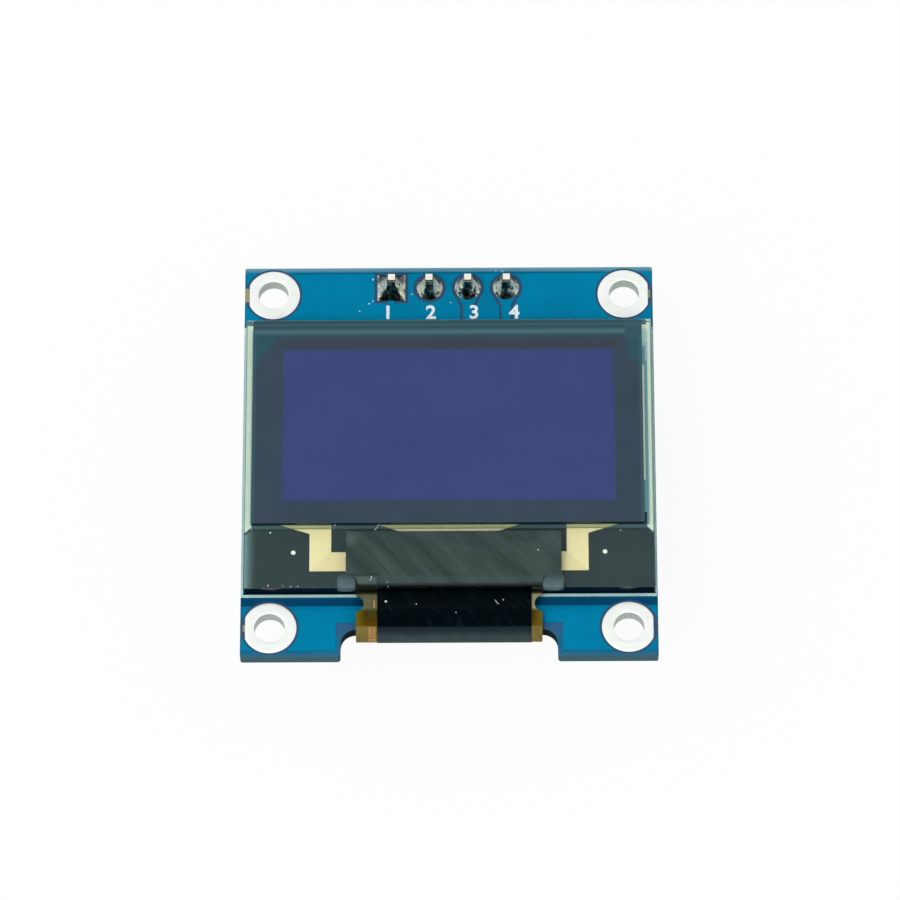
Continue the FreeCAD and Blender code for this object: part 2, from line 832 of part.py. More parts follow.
def make_regulator():
    """The voltage regulator: body, three leads, and the solder below the leads."""
    body = moulded_body(
        regulator_body_length,
        regulator_body_width,
        regulator_body_thickness,
        regulator_standoff,
    )
    lead = gull_lead(
        regulator_body_width,
        regulator_body_thickness,
        regulator_standoff,
        regulator_span,
        regulator_lead_width,
        regulator_lead_thickness,
    )
    seat = lead_seat(regulator_span, regulator_body_width, regulator_lead_width)
    spots = [(-regulator_lead_pitch, 0.0), (regulator_lead_pitch, 0.0), (0.0, 180.0)]
    middle_x = board_side_x - regulator_inset_x
    middle_y = board_top_y - regulator_drop
    leads = []
    seats = []
    for x, degrees in spots:
        leads.append(moved(turned_about(lead, degrees), middle_x + x, middle_y))
        seats.append(moved(turned_about(seat, degrees), middle_x + x, middle_y))
    return moved(body, middle_x, middle_y), Part.makeCompound(leads), seats


def make_diode():
    """The diode: body, two leads at its ends, and the solder below the leads."""
    body = moulded_body(
        diode_body_width,
        diode_body_length,
        diode_body_thickness,
        diode_standoff,
    )
    lead = gull_lead(
        diode_body_length,
        diode_body_thickness,
        diode_standoff,
        diode_span,
        diode_lead_width,
        diode_lead_thickness,
    )
    seat = lead_seat(diode_span, diode_body_length, diode_lead_width)
    middle_x = diode_inset_x - board_side_x
    middle_y = board_top_y - diode_drop
    leads = []
    seats = []
    for degrees in (90.0, -90.0):
        leads.append(moved(turned_about(lead, degrees), middle_x, middle_y))
        seats.append(moved(turned_about(seat, degrees), middle_x, middle_y))
    return moved(turned_about(body, 90.0), middle_x, middle_y), Part.makeCompound(leads), seats


def export_board_and_header():
    """The board, its plated holes, the header and the solder of the pins."""
    export("circuit_board", make_board())
    for number, (x, y) in enumerate(mount_places(), 1):
        export(f"mounting_ring_{number}", make_mount_ring(x, y))
    pin = make_pin()
    joint = make_solder_joint()
    round_pad = plated_hole(header_bore, header_pad_diameter)
    square_pad = square_plated_hole(header_bore, header_pad_diameter, header_square_pad_width)
    for number, (x, y) in enumerate(pin_places(), 1):
        pad = square_pad if number == 1 else round_pad
        export(f"header_pad_{number}", moved(pad, x, y))
        export(f"header_pin_{number}", moved(pin, x, y))
        export(f"pin_solder_{number}", moved(joint, x, y))
    export("header_body", make_header_body())


def export_panel():
    """The display panel and what is bonded to it."""
    traces = make_traces()
    chip = make_chip()
    export("mounting_tape", make_mounting_tape())
    export("cap_glass", make_cap_glass())
    export("drying_sheet", make_drying_sheet())
    export("seal_frame", make_seal_frame(traces))
    export("substrate_glass", make_substrate())
    export("polarizer", make_polarizer())
    export("pixel_matrix", make_matrix())
    export("cathode_sheet", make_cathode())
    export("ledge_traces", traces)
    export("ledge_mask", make_mask(traces, chip))
    export("driver_chip", chip)
    export("shield_tape", make_shield_tape())
    glue = make_glue_tab()
    export("glue_tab_right", glue)
    export("glue_tab_left", mirrored(glue))


def export_flex():
    """The flex, its layers and its contacts."""
    export("flex_film", make_flex_film())
    export("flex_coverlay", make_coverlay())
    export("bond_strip", make_bond_strip())
    export("flex_contacts", make_contacts())
    export("flex_solder", make_contact_solder())


def export_rear_parts():
    """The parts on the rear of the board, and their solder in one group."""
    solder = []
    resistor_size = (resistor_length, resistor_width, resistor_thickness, resistor_cap_length)
    resistor = chip_part(*resistor_size)
    places = row_places(resistor_count, resistor_row_inset, resistor_row_drop)
    for number, (x, y) in enumerate(places, 1):
        export(f"chip_resistor_{number}", moved(resistor, x, y))
        solder += [moved(wedge, x, y) for wedge in chip_solder(*resistor_size)]
    capacitor_size = (capacitor_length, capacitor_width, capacitor_thickness, capacitor_cap_length)
    capacitor = chip_part(*capacitor_size)
    places = row_places(capacitor_count, capacitor_row_inset, capacitor_row_drop)
    for number, (x, y) in enumerate(places, 1):
        export(f"chip_capacitor_{number}", moved(capacitor, x, y))
        solder += [moved(wedge, x, y) for wedge in chip_solder(*capacitor_size)]
    body, leads, seats = make_regulator()
    export("regulator_body", body)
    export("regulator_leads", leads)
    solder += seats
    body, leads, seats = make_diode()
    export("diode_body", body)
    export("diode_leads", leads)
    solder += seats
    export("rear_solder", Part.makeCompound(solder))


def main():
    """Write every node."""
    os.makedirs("parts", exist_ok=True)
    export_board_and_header()
    export_panel()
    export_flex()
    export_rear_parts()


main()
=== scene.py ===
import math
import random

import bpy
from mathutils import Matrix, Vector, noise


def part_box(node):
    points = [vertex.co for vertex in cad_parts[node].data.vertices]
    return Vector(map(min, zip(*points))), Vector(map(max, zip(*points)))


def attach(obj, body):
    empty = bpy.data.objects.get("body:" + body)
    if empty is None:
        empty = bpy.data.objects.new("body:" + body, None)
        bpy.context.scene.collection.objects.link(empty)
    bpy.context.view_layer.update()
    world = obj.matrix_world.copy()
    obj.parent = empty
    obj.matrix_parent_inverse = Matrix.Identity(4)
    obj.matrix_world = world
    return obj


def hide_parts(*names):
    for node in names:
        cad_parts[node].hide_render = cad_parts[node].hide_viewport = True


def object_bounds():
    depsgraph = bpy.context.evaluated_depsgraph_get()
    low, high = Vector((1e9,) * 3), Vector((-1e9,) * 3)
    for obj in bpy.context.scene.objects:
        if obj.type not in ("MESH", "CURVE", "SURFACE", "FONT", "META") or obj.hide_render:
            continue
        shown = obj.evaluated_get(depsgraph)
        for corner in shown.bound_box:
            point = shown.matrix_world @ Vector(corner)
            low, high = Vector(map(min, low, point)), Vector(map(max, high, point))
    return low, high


# Lengths are in millimetres and are scaled where they enter Blender
MM = 0.001

# Camera, in the part's frame
camera_place = (2.48, -157.54, 346.26)
camera_right = (1.0, -0.0014, -0.0076)
camera_up = (0.0044, 0.9096, 0.4155)
camera_lens = 231.78
camera_sensor = 36.0

# Light
sky_side = 1.0
sky_middle = 0.42
sky_middle_end = 0.1
sky_side_start = 0.6
backdrop_height = 0.1
key_place = (-150.0, -240.0, 470.0)
key_size = 300.0
key_power = 1.25
floor_gap = 0.02
floor_half_width = 900.0
floor_glow_share = 0.92

# Board
board_side_x = 13.55
board_top_y = 14.0
board_rear_z = -1.0
board_corner_radius = 0.14
notch_side_x = 7.05
notch_top_y = -12.15
notch_corner_radius = 1.0
notch_mouth_radius = 0.2
ring_places = [(-11.65, 12.0), (11.65, 12.0), (11.65, -12.0), (-11.65, -12.0)]
ring_bore_radius = 1.0
ring_radius = 1.75
ring_hole_radius = 1.4
ring_reach_x = 13.23
ring_lift = 0.05
ring_clearance = 0.16
pin_places_x = [-3.81, -1.27, 1.27, 3.81]
pin_row_y = 12.48
pin_half = 0.32
pin_hole_radius = 0.55
pad_radius = 0.85
pad_half = 0.915
pad_gap = 1.115
round_pad_gap = 1.08
pad_spoke_half = 0.22
solder_top_z = 1.53
solder_rise = 0.06
copper_lift = 0.035
pour_side_x = 13.46
pour_top_y = 13.66
pour_upper_end_y = 8.95
pour_lower_start_y = -10.48
pour_bottom_y = -13.62
pour_notch_x = 7.35
pour_notch_y = -11.68
all_x = (-14.0, 14.0)
mask_slot = "solder_mask_board"

# Display
panel_side_x = 13.35
panel_top_y = 9.48
cap_bottom_y = -5.52
seal_rear_z = 0.7
polarizer_left_x = -12.9
polarizer_right_x = 12.74
polarizer_top_y = 9.33
tape_limits = (-6.7, 7.3, -5.8, -9.0)
tongue_limits = (-5.95, 6.05, -9.66)
tape_rear_z = 1.4
tape_thickness = 0.05

# Flex
film_half_width = 6.04
film_thickness = 0.08
film_middle_z = 0.67
film_start_y = -8.6
film_level_end_y = -9.9
film_drop_radius = 3.0
film_bend_radius = 0.77
film_bend_gap = 0.05
tail_middle_z = -1.1
tail_start_y = -10.6
tail_end_y = -7.9
tail_half_width = 9.8
tail_neck_radius = 0.6
bite_radius = 0.52
bite_depth = 0.5
bite_y = -10.57
cover_left_x = -4.66
cover_right_x = 5.34
cover_thickness = 0.03
cover_start_y = -9.15
cover_end_y = -10.3

# Rear
contact_places_x = [0.62 * (number - 14.5) for number in range(30)]
track_half_width = 0.14
track_gap_half = 0.34
frame_margin = 0.3
frame_line = 0.12
capacitor_names = ["chip_capacitor_%d" % number for number in range(1, 9)]
resistor_names = ["chip_resistor_%d" % number for number in range(1, 8)]

random.seed(7)
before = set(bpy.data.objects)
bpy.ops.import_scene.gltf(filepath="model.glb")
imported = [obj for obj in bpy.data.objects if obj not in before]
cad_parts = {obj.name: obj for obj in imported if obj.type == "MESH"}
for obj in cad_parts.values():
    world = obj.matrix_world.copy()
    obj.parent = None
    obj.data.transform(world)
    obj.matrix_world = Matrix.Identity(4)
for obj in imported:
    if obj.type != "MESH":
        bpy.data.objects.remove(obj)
cad_box = [list(corner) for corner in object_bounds()]


def paint(colour):
    """A linear colour from the three numbers, 0 to 255, that a paint is read as."""
    if isinstance(colour, bpy.types.NodeSocket):
        return colour
    shares = [number / 255 for number in colour]
    linear = [s / 12.92 if s <= 0.04045 else ((s + 0.055) / 1.055) ** 2.4 for s in shares]
    return (*linear, 1.0)


class Nodes:
    """A node tree, with short ways to add to it."""

    def __init__(self, tree):
        self.tree = tree

    def add(self, kind, inputs=None, **settings):
        """A new node with its settings and inputs; an input given as a socket is linked."""
        node = self.tree.nodes.new(kind)
        for name, value in settings.items():
            setattr(node, name, value)
        for key, value in (inputs or {}).items():
            self.give(node.inputs[key], value)
        return node

    def give(self, socket, value):
        """Links an input to another socket, or sets it to a value."""
        if isinstance(value, bpy.types.NodeSocket):
            self.tree.links.new(value, socket)
        else:
            socket.default_value = value

    def maths(self, operation, *values):
        """The result of a math node."""
        return self.add("ShaderNodeMath", dict(enumerate(values)), operation=operation).outputs[0]

    def vector_maths(self, operation, inputs):
        """The node for a sum with vectors."""
        return self.add("ShaderNodeVectorMath", inputs, operation=operation)

    def both(self, first, second):
        """The part that two masks share."""
        return self.maths("MULTIPLY", first, second)

    def either(self, first, second):
        """The part that at least one of two masks covers."""
        return self.maths("MAXIMUM", first, second)

    def spread(self, value, low, high, start=0.0, end=1.0):
        """A value carried from one range to another, and held at its ends."""
        inputs = {"Value": value, "From Min": low, "From Max": high, "To Min": start, "To Max": end}
        return self.add("ShaderNodeMapRange", inputs).outputs["Result"]

    def edge(self, value, limit, softness, start=0.0, end=1.0):
        """A soft step from one value to another at a limit."""
        low = self.maths("SUBTRACT", limit, softness)
        high = self.maths("ADD", limit, softness)
        return self.spread(value, low, high, start, end)

    def from_one(self, value):
        """One divided by the value."""
        return self.maths("DIVIDE", 1.0, value)

    def axes(self, vector):
        """The three numbers of a vector."""
        return self.add("ShaderNodeSeparateXYZ", {0: vector}).outputs

    def cloud(self, vector, scale, detail, roughness):
        """Cloudy noise, from 0 to 1."""
        inputs = {"Vector": vector, "Scale": scale, "Detail": detail, "Roughness": roughness}
        cloud = self.add("ShaderNodeTexNoise", inputs).outputs["Fac"]
        return self.spread(cloud, 0.3, 0.7)

    def plain_shader(self, kind, **inputs):
        """A shader without a texture."""
        return self.add("ShaderNode" + kind, inputs).outputs[0]


def new_group(name, values, *results):
    """A node group that takes a place and some values: its nodes, its inputs and its outputs."""
    tree = bpy.data.node_groups.new(name, "ShaderNodeTree")
    for socket, value in {"Place": (0.0, 0.0, 0.0), **values}.items():
        kind = "NodeSocketVector" if isinstance(value, tuple) else "NodeSocketFloat"
        tree.interface.new_socket(socket, in_out="INPUT", socket_type=kind).default_value = value
    for socket in results:
        tree.interface.new_socket(socket, in_out="OUTPUT", socket_type="NodeSocketFloat")
    given = tree.nodes.new("NodeGroupInput").outputs
    return Nodes(tree), given, tree.nodes.new("NodeGroupOutput").inputs


def make_rectangle_group():
    """Mask of a rectangle in X and Y, with soft edges."""
    names = ("Centre X", "Centre Y", "Half Width", "Half Height")
    n, given, result = new_group("Rectangle", {**dict.fromkeys(names, 0.0), "Softness": 0.03}, "Mask")
    axes = n.axes(given["Place"])
    sides = []
    for number, centre, half in ((0, "Centre X", "Half Width"), (1, "Centre Y", "Half Height")):
        away = n.maths("ABSOLUTE", n.maths("SUBTRACT", axes[number], given[centre]))
        sides.append(n.edge(away, given[half], given["Softness"], 1.0, 0.0))
    n.give(result["Mask"], n.both(*sides))
    return n.tree


def make_slope_group():
    """Mask of the side of a slanted line that its direction points to."""
    values = {"Direction": (1.0, 0.0, 0.0), "Distance": 0.0, "Softness": 0.03}
    n, given, result = new_group("Slanted Line", values, "Mask")
    inputs = {0: given["Place"], 1: given["Direction"]}
    along = n.vector_maths("DOT_PRODUCT", inputs).outputs["Value"]
    n.give(result["Mask"], n.edge(along, given["Distance"], given["Softness"]))
    return n.tree


def make_disc_group():
    """Mask of a round spot in X and Y, with a soft edge."""
    values = {"Centre X": 0.0, "Centre Y": 0.0, "Radius": 0.0, "Softness": 0.03}
    n, given, result = new_group("Round Spot", values, "Mask")
    axes = n.axes(given["Place"])
    squares = []
    for number, centre in enumerate(("Centre X", "Centre Y")):
        away = n.maths("SUBTRACT", axes[number], given[centre])
        squares.append(n.both(away, away))
    away = n.maths("SQRT", n.maths("ADD", *squares))
    n.give(result["Mask"], n.edge(away, given["Radius"], given["Softness"], 1.0, 0.0))
    return n.tree


def make_grain_group():
    """Fine unevenness of a surface: a value from 0 to 1, and the same as a small height."""
    n, given, result = new_group("Grain", {"Size": 1.0, "Height": 0.002}, "Value", "Relief")
    value = n.cloud(given["Place"], n.from_one(given["Size"]), 4.0, 0.6)
    n.give(result["Value"], value)
    n.give(result["Relief"], n.both(value, given["Height"]))
    return n.tree


def make_dust_group():
    """Mask of loose specks: most cells are empty, and the others hold one speck each."""
    values = {"Spacing": 0.8, "Speck": 0.06, "Share": 0.2}
    n, given, result = new_group("Dust", values, "Mask")
    inputs = {"Vector": given["Place"], "Scale": n.from_one(given["Spacing"])}
    cells = n.add("ShaderNodeTexVoronoi", inputs).outputs
    chance = n.add("ShaderNodeSeparateColor", {0: cells["Color"]}).outputs
    radius = n.maths("DIVIDE", n.both(given["Speck"], chance[1]), given["Spacing"])
    near = n.maths("LESS_THAN", cells["Distance"], radius)
    chosen = n.maths("LESS_THAN", chance[0], given["Share"])
    n.give(result["Mask"], n.both(near, chosen))
    return n.tree


def make_streak_group():
    """Brushed lines that run along one direction, as a value from 0 to 1."""
    values = {"Turn": (0.0, 0.0, 0.0), "Spacing": 0.2, "Length": 12.0}
    n, given, result = new_group("Streaks", values, "Value")
    across = n.from_one(given["Spacing"])
    along = n.maths("DIVIDE", across, given["Length"])
    squeeze = n.add("ShaderNodeCombineXYZ", {0: along, 1: across, 2: across}).outputs[0]
    turned = n.add("ShaderNodeMapping", {"Vector": given["Place"], "Rotation": given["Turn"]})
    drawn = n.vector_maths("MULTIPLY", {0: turned.outputs[0], 1: squeeze}).outputs[0]
    n.give(result["Value"], n.cloud(drawn, 1.0, 3.0, 0.65))
    return n.tree


rectangle_group = make_rectangle_group()
slope_group = make_slope_group()
disc_group = make_disc_group()
grain_group = make_grain_group()
dust_group = make_dust_group()
streak_group = make_streak_group()


class Surface(Nodes):
    """A material in the making: its shader, the place in millimetres, and the colour so far."""

    def __init__(self, name):
        self.finish = bpy.data.materials.new(name)
        self.finish.use_nodes = True
        super().__init__(self.finish.node_tree)
        self.tree.nodes.clear()
        self.shader = self.add("ShaderNodeBsdfPrincipled")
        self.out = self.add("ShaderNodeOutputMaterial", {"Surface": self.shader.outputs[0]})
        coordinates = self.add("ShaderNodeTexCoord").outputs["Object"]
        self.place = self.vector_maths("SCALE", {0: coordinates, "Scale": 1 / MM}).outputs[0]
        self.x, self.y, self.z = self.axes(self.place)
        self.colour = None

    def use(self, group, **inputs):
        """The outputs of a group at this place, with its inputs named in lower case."""
        node = self.add("ShaderNodeGroup", node_tree=group)
        self.give(node.inputs["Place"], self.place)
        for name, value in inputs.items():
            node.inputs[name.replace("_", " ").title()].default_value = value
        return node.outputs

    def rectangle(self, x_range, y_range, softness=0.03):
        """Mask of the rectangle between two limits in X and two in Y."""
        left, right = sorted(x_range)
        low, high = y_range
        return self.use(
            rectangle_group,
            centre_x=(left + right) / 2,
            centre_y=(low + high) / 2,
            half_width=(right - left) / 2,
            half_height=(high - low) / 2,
            softness=softness,
        )["Mask"]

    def slope(self, direction, through, softness=0.03):
        """Mask of the side of a line that the direction points to; the line goes through a point."""
        x, y = Vector(direction).normalized()
        distance = x * through[0] + y * through[1]
        sockets = {"direction": (x, y, 0.0), "distance": distance, "softness": softness}
        return self.use(slope_group, **sockets)["Mask"]

    def disc(self, x, y, radius, softness=0.03):
        """Mask of a round spot."""
        sockets = {"centre_x": x, "centre_y": y, "radius": radius, "softness": softness}
        return self.use(disc_group, **sockets)["Mask"]

    def grain(self, size, height=0.002):
        """Value and relief of the surface's fine unevenness."""
        outputs = self.use(grain_group, size=size, height=height)
        return outputs["Value"], outputs["Relief"]

    def streaks(self, spacing, length, **turn):
        """Brushed lines, as a value from 0 to 1."""
        return self.use(streak_group, spacing=spacing, length=length, **turn)["Value"]

    def dust(self, spacing, speck, share):
        """Mask of loose specks."""
        return self.use(dust_group, spacing=spacing, speck=speck, share=share)["Mask"]

    def upright(self):
        """How far a face looks up or down, from -1 to 1."""
        return self.axes(self.add("ShaderNodeNewGeometry").outputs["True Normal"])[2]

    def wall(self, limit):
        """Mask of the faces that look sideways."""
        return self.maths("LESS_THAN", self.maths("ABSOLUTE", self.upright()), limit)

    def above(self, value, limit):
        """Mask of the places where a value is higher than a limit."""
        return self.maths("GREATER_THAN", value, limit)

    def between(self, value, start, end):
        """A value from 0 to 1 carried to another range."""
        return self.spread(value, 0.0, 1.0, start, end)

    def blend(self, mask, first, second):
        """The first colour where the mask is 0, and the second where it is 1."""
        inputs = {0: mask, 6: paint(first), 7: paint(second)}
        return self.add("ShaderNodeMix", inputs, data_type="RGBA").outputs[2]

    def lay(self, mask, colour, share=None):
        """Lays a colour over the colour so far where the mask is, in full or by a share."""
        mask = mask if share is None else self.both(mask, share)
        self.colour = self.blend(mask, self.colour, colour)

    def lay_box(self, x_range, y_range, softness, colour, share=None):
        """Lays a colour over a rectangle."""
        self.lay(self.rectangle(x_range, y_range, softness), colour, share)

    def finished(self, height=None, **inputs):
        """The material, with its shader's inputs named in lower case and its bump from a height."""
        for name, value in {"base_color": self.colour, **inputs}.items():
            name = name.replace("_", " ").title().replace("Ior", "IOR")
            self.give(self.shader.inputs[name], value)
        if height is not None:
            bump = self.add("ShaderNodeBump", {"Height": height, "Distance": MM, "Strength": 1.0})
            self.give(self.shader.inputs["Normal"], bump.outputs[0])
        return self.finish

    def let_light_through(self, share, colour):
        """Lets a share of the light pass straight through a clear layer to what lies under it."""
        rays = self.add("ShaderNodeLightPath").outputs
        light = self.either(rays["Is Shadow Ray"], rays["Is Diffuse Ray"])
        clear = self.plain_shader("BsdfTransparent", Color=paint(colour))
        inputs = {0: self.both(light, share), 1: self.shader.outputs[0], 2: clear}
        mixed = self.add("ShaderNodeMixShader", inputs).outputs[0]
        self.give(self.out.inputs["Surface"], mixed)


def make_board_finish():
    """Blue solder mask on bare laminate, with the cut edges of the laminate at the sides, and painted
    shade below the display and on the walls in the notch.
    """
    s = Surface("mask_on_laminate")
    s.colour = s.blend(s.grain(2.4)[0], (16, 96, 134), (34, 106, 142))
    front = s.above(s.z, -0.5)

    def lay_front(x_range, y_range, softness, colour, share=None):
        s.lay(s.both(s.rectangle(x_range, y_range, softness), front), colour, share)

    # The pale margins at the upper and lower side, and painted shade below the display
    s.lay_box(all_x, (13.74, 14.4), 0.16, (98, 148, 166))
    s.lay_box(all_x, (-14.4, -13.86), 0.14, (52, 100, 122))
    # Bare laminate below the display, darkened by painted shade from the display above
    lay_front(all_x, (pour_lower_start_y, -9.2), 0.04, (1, 66, 101))
    # Painted shadow of the glass, just above the printed line
    lay_front(all_x, (-9.66, -9.0), 0.03, (0, 22, 34))
    # Painted shade beside the bites of the flex
    for side in (-1, 1):
        lay_front((side * 6.1, side * 5.4), (-11.0, -9.9), 0.25, (0, 40, 52), 0.6)
    # A lighter edge of the painted shade, just under the printed line
    lay_front((-13.4, 13.4), (-10.02, -9.86), 0.06, (12, 94, 134), 0.35)
    lay_front((-8.2, 8.2), (-12.6, -10.9), 0.3, (48, 94, 132))
    for x in (-13.5, 13.5):
        lay_front((x - 0.16, x + 0.16), (-9.5, 9.3), 0.05, (116, 148, 156))

    # Dark lines where the copper leaves a gap
    gap = None
    for x, y in ring_places:
        near = s.disc(x, y, ring_radius + ring_clearance - 0.02, 0.02)
        gap = near if gap is None else s.either(gap, near)
    for x in pin_places_x[1:]:
        gap = s.either(gap, s.disc(x, pin_row_y, round_pad_gap + 0.05, 0.02))
    x, reach = pin_places_x[0], pad_gap + 0.03
    gap = s.either(gap, s.rectangle((x - reach, x + reach), (pin_row_y - reach, pin_row_y + reach)))
    below = s.rectangle((0.0, 5.4), (9.0, 12.2), 0.05)
    s.lay(s.either(gap, s.both(below, front)), (54, 80, 112))

    # Bare strips beside the rings
    strips = [(-13.4, 12.0, 0.18, 0.5), (13.31, 12.0, 0.07, 0.3), (-13.3, -12.0, 0.08, 0.24)]
    for x, y, half_x, half_y in strips:
        lay_front((x - half_x, x + half_x), (y - half_y, y + half_y), 0.03, (160, 154, 114), 0.85)

    laminate = s.blend(s.streaks(0.07, 9.0), (46, 78, 88), (70, 104, 116))
    wall = s.wall(0.5)
    # Painted shade: the walls inside the notch are darkened, as they lie under the flex
    inside = s.rectangle((-7.2, 7.2), (-13.4, -11.0), 0.3)
    s.lay(wall, s.blend(inside, laminate, (20, 30, 28)))
    rough = s.between(wall, 0.36, 0.8)
    return s.finished(s.grain(0.12, 0.001)[1], roughness=rough, specular_ior_level=0.04)


def make_pour_finish():
    """Blue solder mask on copper, brighter than on the bare laminate, with painted shade on its walls,
    along its upper edge and where the lower copper starts.
    """
    s = Surface("mask_on_copper")
    fine, bumps = s.grain(0.16, 0.0012)
    s.colour = s.blend(s.grain(3.1)[0], (0, 117, 156), (0, 127, 168))
    # Painted shade on the walls of the copper
    s.lay(s.wall(0.75), (0, 84, 112))
    # Painted shade along the upper edge of the copper
    s.lay_box((-10.4, 10.4), (13.53, 13.9), 0.03, (0, 98, 126))
    # Painted shadow of the display where the lower copper starts
    s.lay_box(all_x, (-10.62, -10.3), 0.3, (0, 82, 116), 0.5)
    s.lay(s.dust(0.9, 0.05, 0.12), (96, 164, 190))
    return s.finished(bumps, roughness=s.between(fine, 0.3, 0.42), specular_ior_level=0.02)


def make_ink_finish():
    """White legend ink, a little chalky."""
    s = Surface("legend_ink")
    cloud, bumps = s.grain(0.14, 0.004)
    s.colour = s.blend(cloud, (206, 220, 228), (244, 250, 252))
    return s.finished(bumps, roughness=0.7, specular_ior_level=0.2)


def make_outline_ink_finish():
    """The same ink, greyed by the mask under a thin line and darkened by painted shade."""
    s = Surface("thin_ink_painted_shade")
    cloud, bumps = s.grain(0.2, 0.004)
    s.colour = s.blend(cloud, (146, 192, 189), (178, 216, 212))
    s.lay(s.grain(1.6)[0], (198, 222, 224), 0.5)
    return s.finished(bumps, roughness=0.7, specular_ior_level=0.1)


def make_levelled_tin_finish():
    """Hot-levelled tin on the rings and pads: pale, soft and slightly uneven, with painted shade on the
    walls of the barrels.
    """
    s = Surface("levelled_tin")
    cloud, swell = s.grain(0.9, 0.02)
    fine, pores = s.grain(0.09, 0.002)
    s.colour = s.blend(cloud, (238, 242, 238), (247, 250, 246))
    # Painted shade on the faces that look sideways, as the walls of the barrels
    wall = s.spread(s.maths("ABSOLUTE", s.upright()), 0.5, 0.2)
    s.lay(wall, s.blend(fine, (150, 160, 152), (184, 194, 186)))
    height = s.maths("ADD", swell, pores)
    rough, metal = s.between(fine, 0.34, 0.5), s.between(wall, 0.12, 0.7)
    return s.finished(height, roughness=rough, metallic=metal)


def make_solder_finish():
    """Bright solder with painted reflections: painted pale highlights at the sides, and a painted dark
    reflection with grey patches at the front and behind the pin.
    """
    s = Surface("bright_solder")
    cloud, swell = s.grain(0.4, 0.012)
    fine, pores = s.grain(0.06, 0.001)
    patch_noise, film = s.grain(0.28)[0], s.grain(0.24)[0]
    normal = s.axes(s.add("ShaderNodeNewGeometry").outputs["Normal"])
    s.colour = s.blend(cloud, (120, 126, 118), (176, 182, 172))
    # Painted dark reflection, with grey patches, on the faces that look to the front
    turned = s.maths("ADD", normal[1], s.both(patch_noise, 0.35))
    dark_reflection = s.blend(s.spread(film, 0.42, 0.68), (20, 28, 28), (122, 132, 114))
    s.lay(s.spread(turned, 0.0, -0.45), dark_reflection, 0.94)
    # Painted pale highlights on the faces that look to the sides
    sideways = s.maths("ABSOLUTE", normal[0])
    side_highlight = s.spread(s.both(sideways, s.spread(patch_noise, 0.15, 0.7, 0.3, 1.0)), 0.26, 0.52)
    s.lay(side_highlight, (228, 228, 206))
    # Painted dark reflection on the solder behind the pin
    behind = s.spread(s.y, pin_row_y + 0.1, pin_row_y + 0.42)
    s.lay(s.both(behind, s.spread(s.z, 0.055, 0.13)), (26, 32, 30), 0.85)
    height = s.maths("ADD", swell, pores)
    rough, metal = s.between(fine, 0.1, 0.24), s.between(side_highlight, 0.95, 0.35)
    return s.finished(height, roughness=rough, metallic=metal)


def make_pin_finish():
    """Plated pin wire with faint lines along it, a painted dark reflection on its upper part and a
    painted highlight on its sheared end.
    """
    s = Surface("plated_pin")
    lines = s.streaks(0.05, 20.0, turn=(0.0, math.pi / 2, 0.0))
    s.colour = s.blend(lines, (178, 164, 124), (206, 194, 156))
    # Painted dark reflection on the upper part of the pin
    s.lay(s.spread(s.z, 1.2, 1.3), (86, 84, 70))
    # Painted highlight on the sheared end
    tip_highlight = s.spread(s.z, 1.645, 1.655)
    s.lay(tip_highlight, s.blend(s.grain(0.18)[0], (232, 228, 212), (250, 248, 240)))
    rough, metal = s.between(lines, 0.2, 0.34), s.between(tip_highlight, 1.0, 0.1)
    return s.finished(s.both(lines, 0.001), roughness=rough, metallic=metal)


def make_moulding_finish(name, dark, light, size=0.1, rough=0.55):
    """Moulded plastic with a fine matt skin."""
    s = Surface(name)
    cloud, swell = s.grain(1.1, 0.004)
    fine, pores = s.grain(size, 0.004)
    s.colour = s.blend(cloud, dark, light)
    roughness = s.between(fine, rough - 0.1, rough + 0.1)
    height = s.maths("ADD", swell, pores)
    return s.finished(height, roughness=roughness, specular_ior_level=0.4)


def make_glass_finish():
    """Clear display glass with a faint green tint and smears, and light let through to the layers."""
    s = Surface("display_glass")
    cloud, _ = s.grain(1.8)
    s.colour = s.blend(cloud, (248, 252, 251), (252, 255, 254))
    cut = s.both(s.wall(0.5), s.above(s.y, -9.6))
    s.lay(cut, (176, 210, 204))
    rough = s.maths("ADD", s.between(cloud, 0.01, 0.04), s.both(cut, 0.24))
    s.let_light_through(1.0, (250, 253, 252))
    mirror = paint((150, 150, 150))
    return s.finished(roughness=rough, ior=1.5, transmission_weight=1.0, specular_tint=mirror)


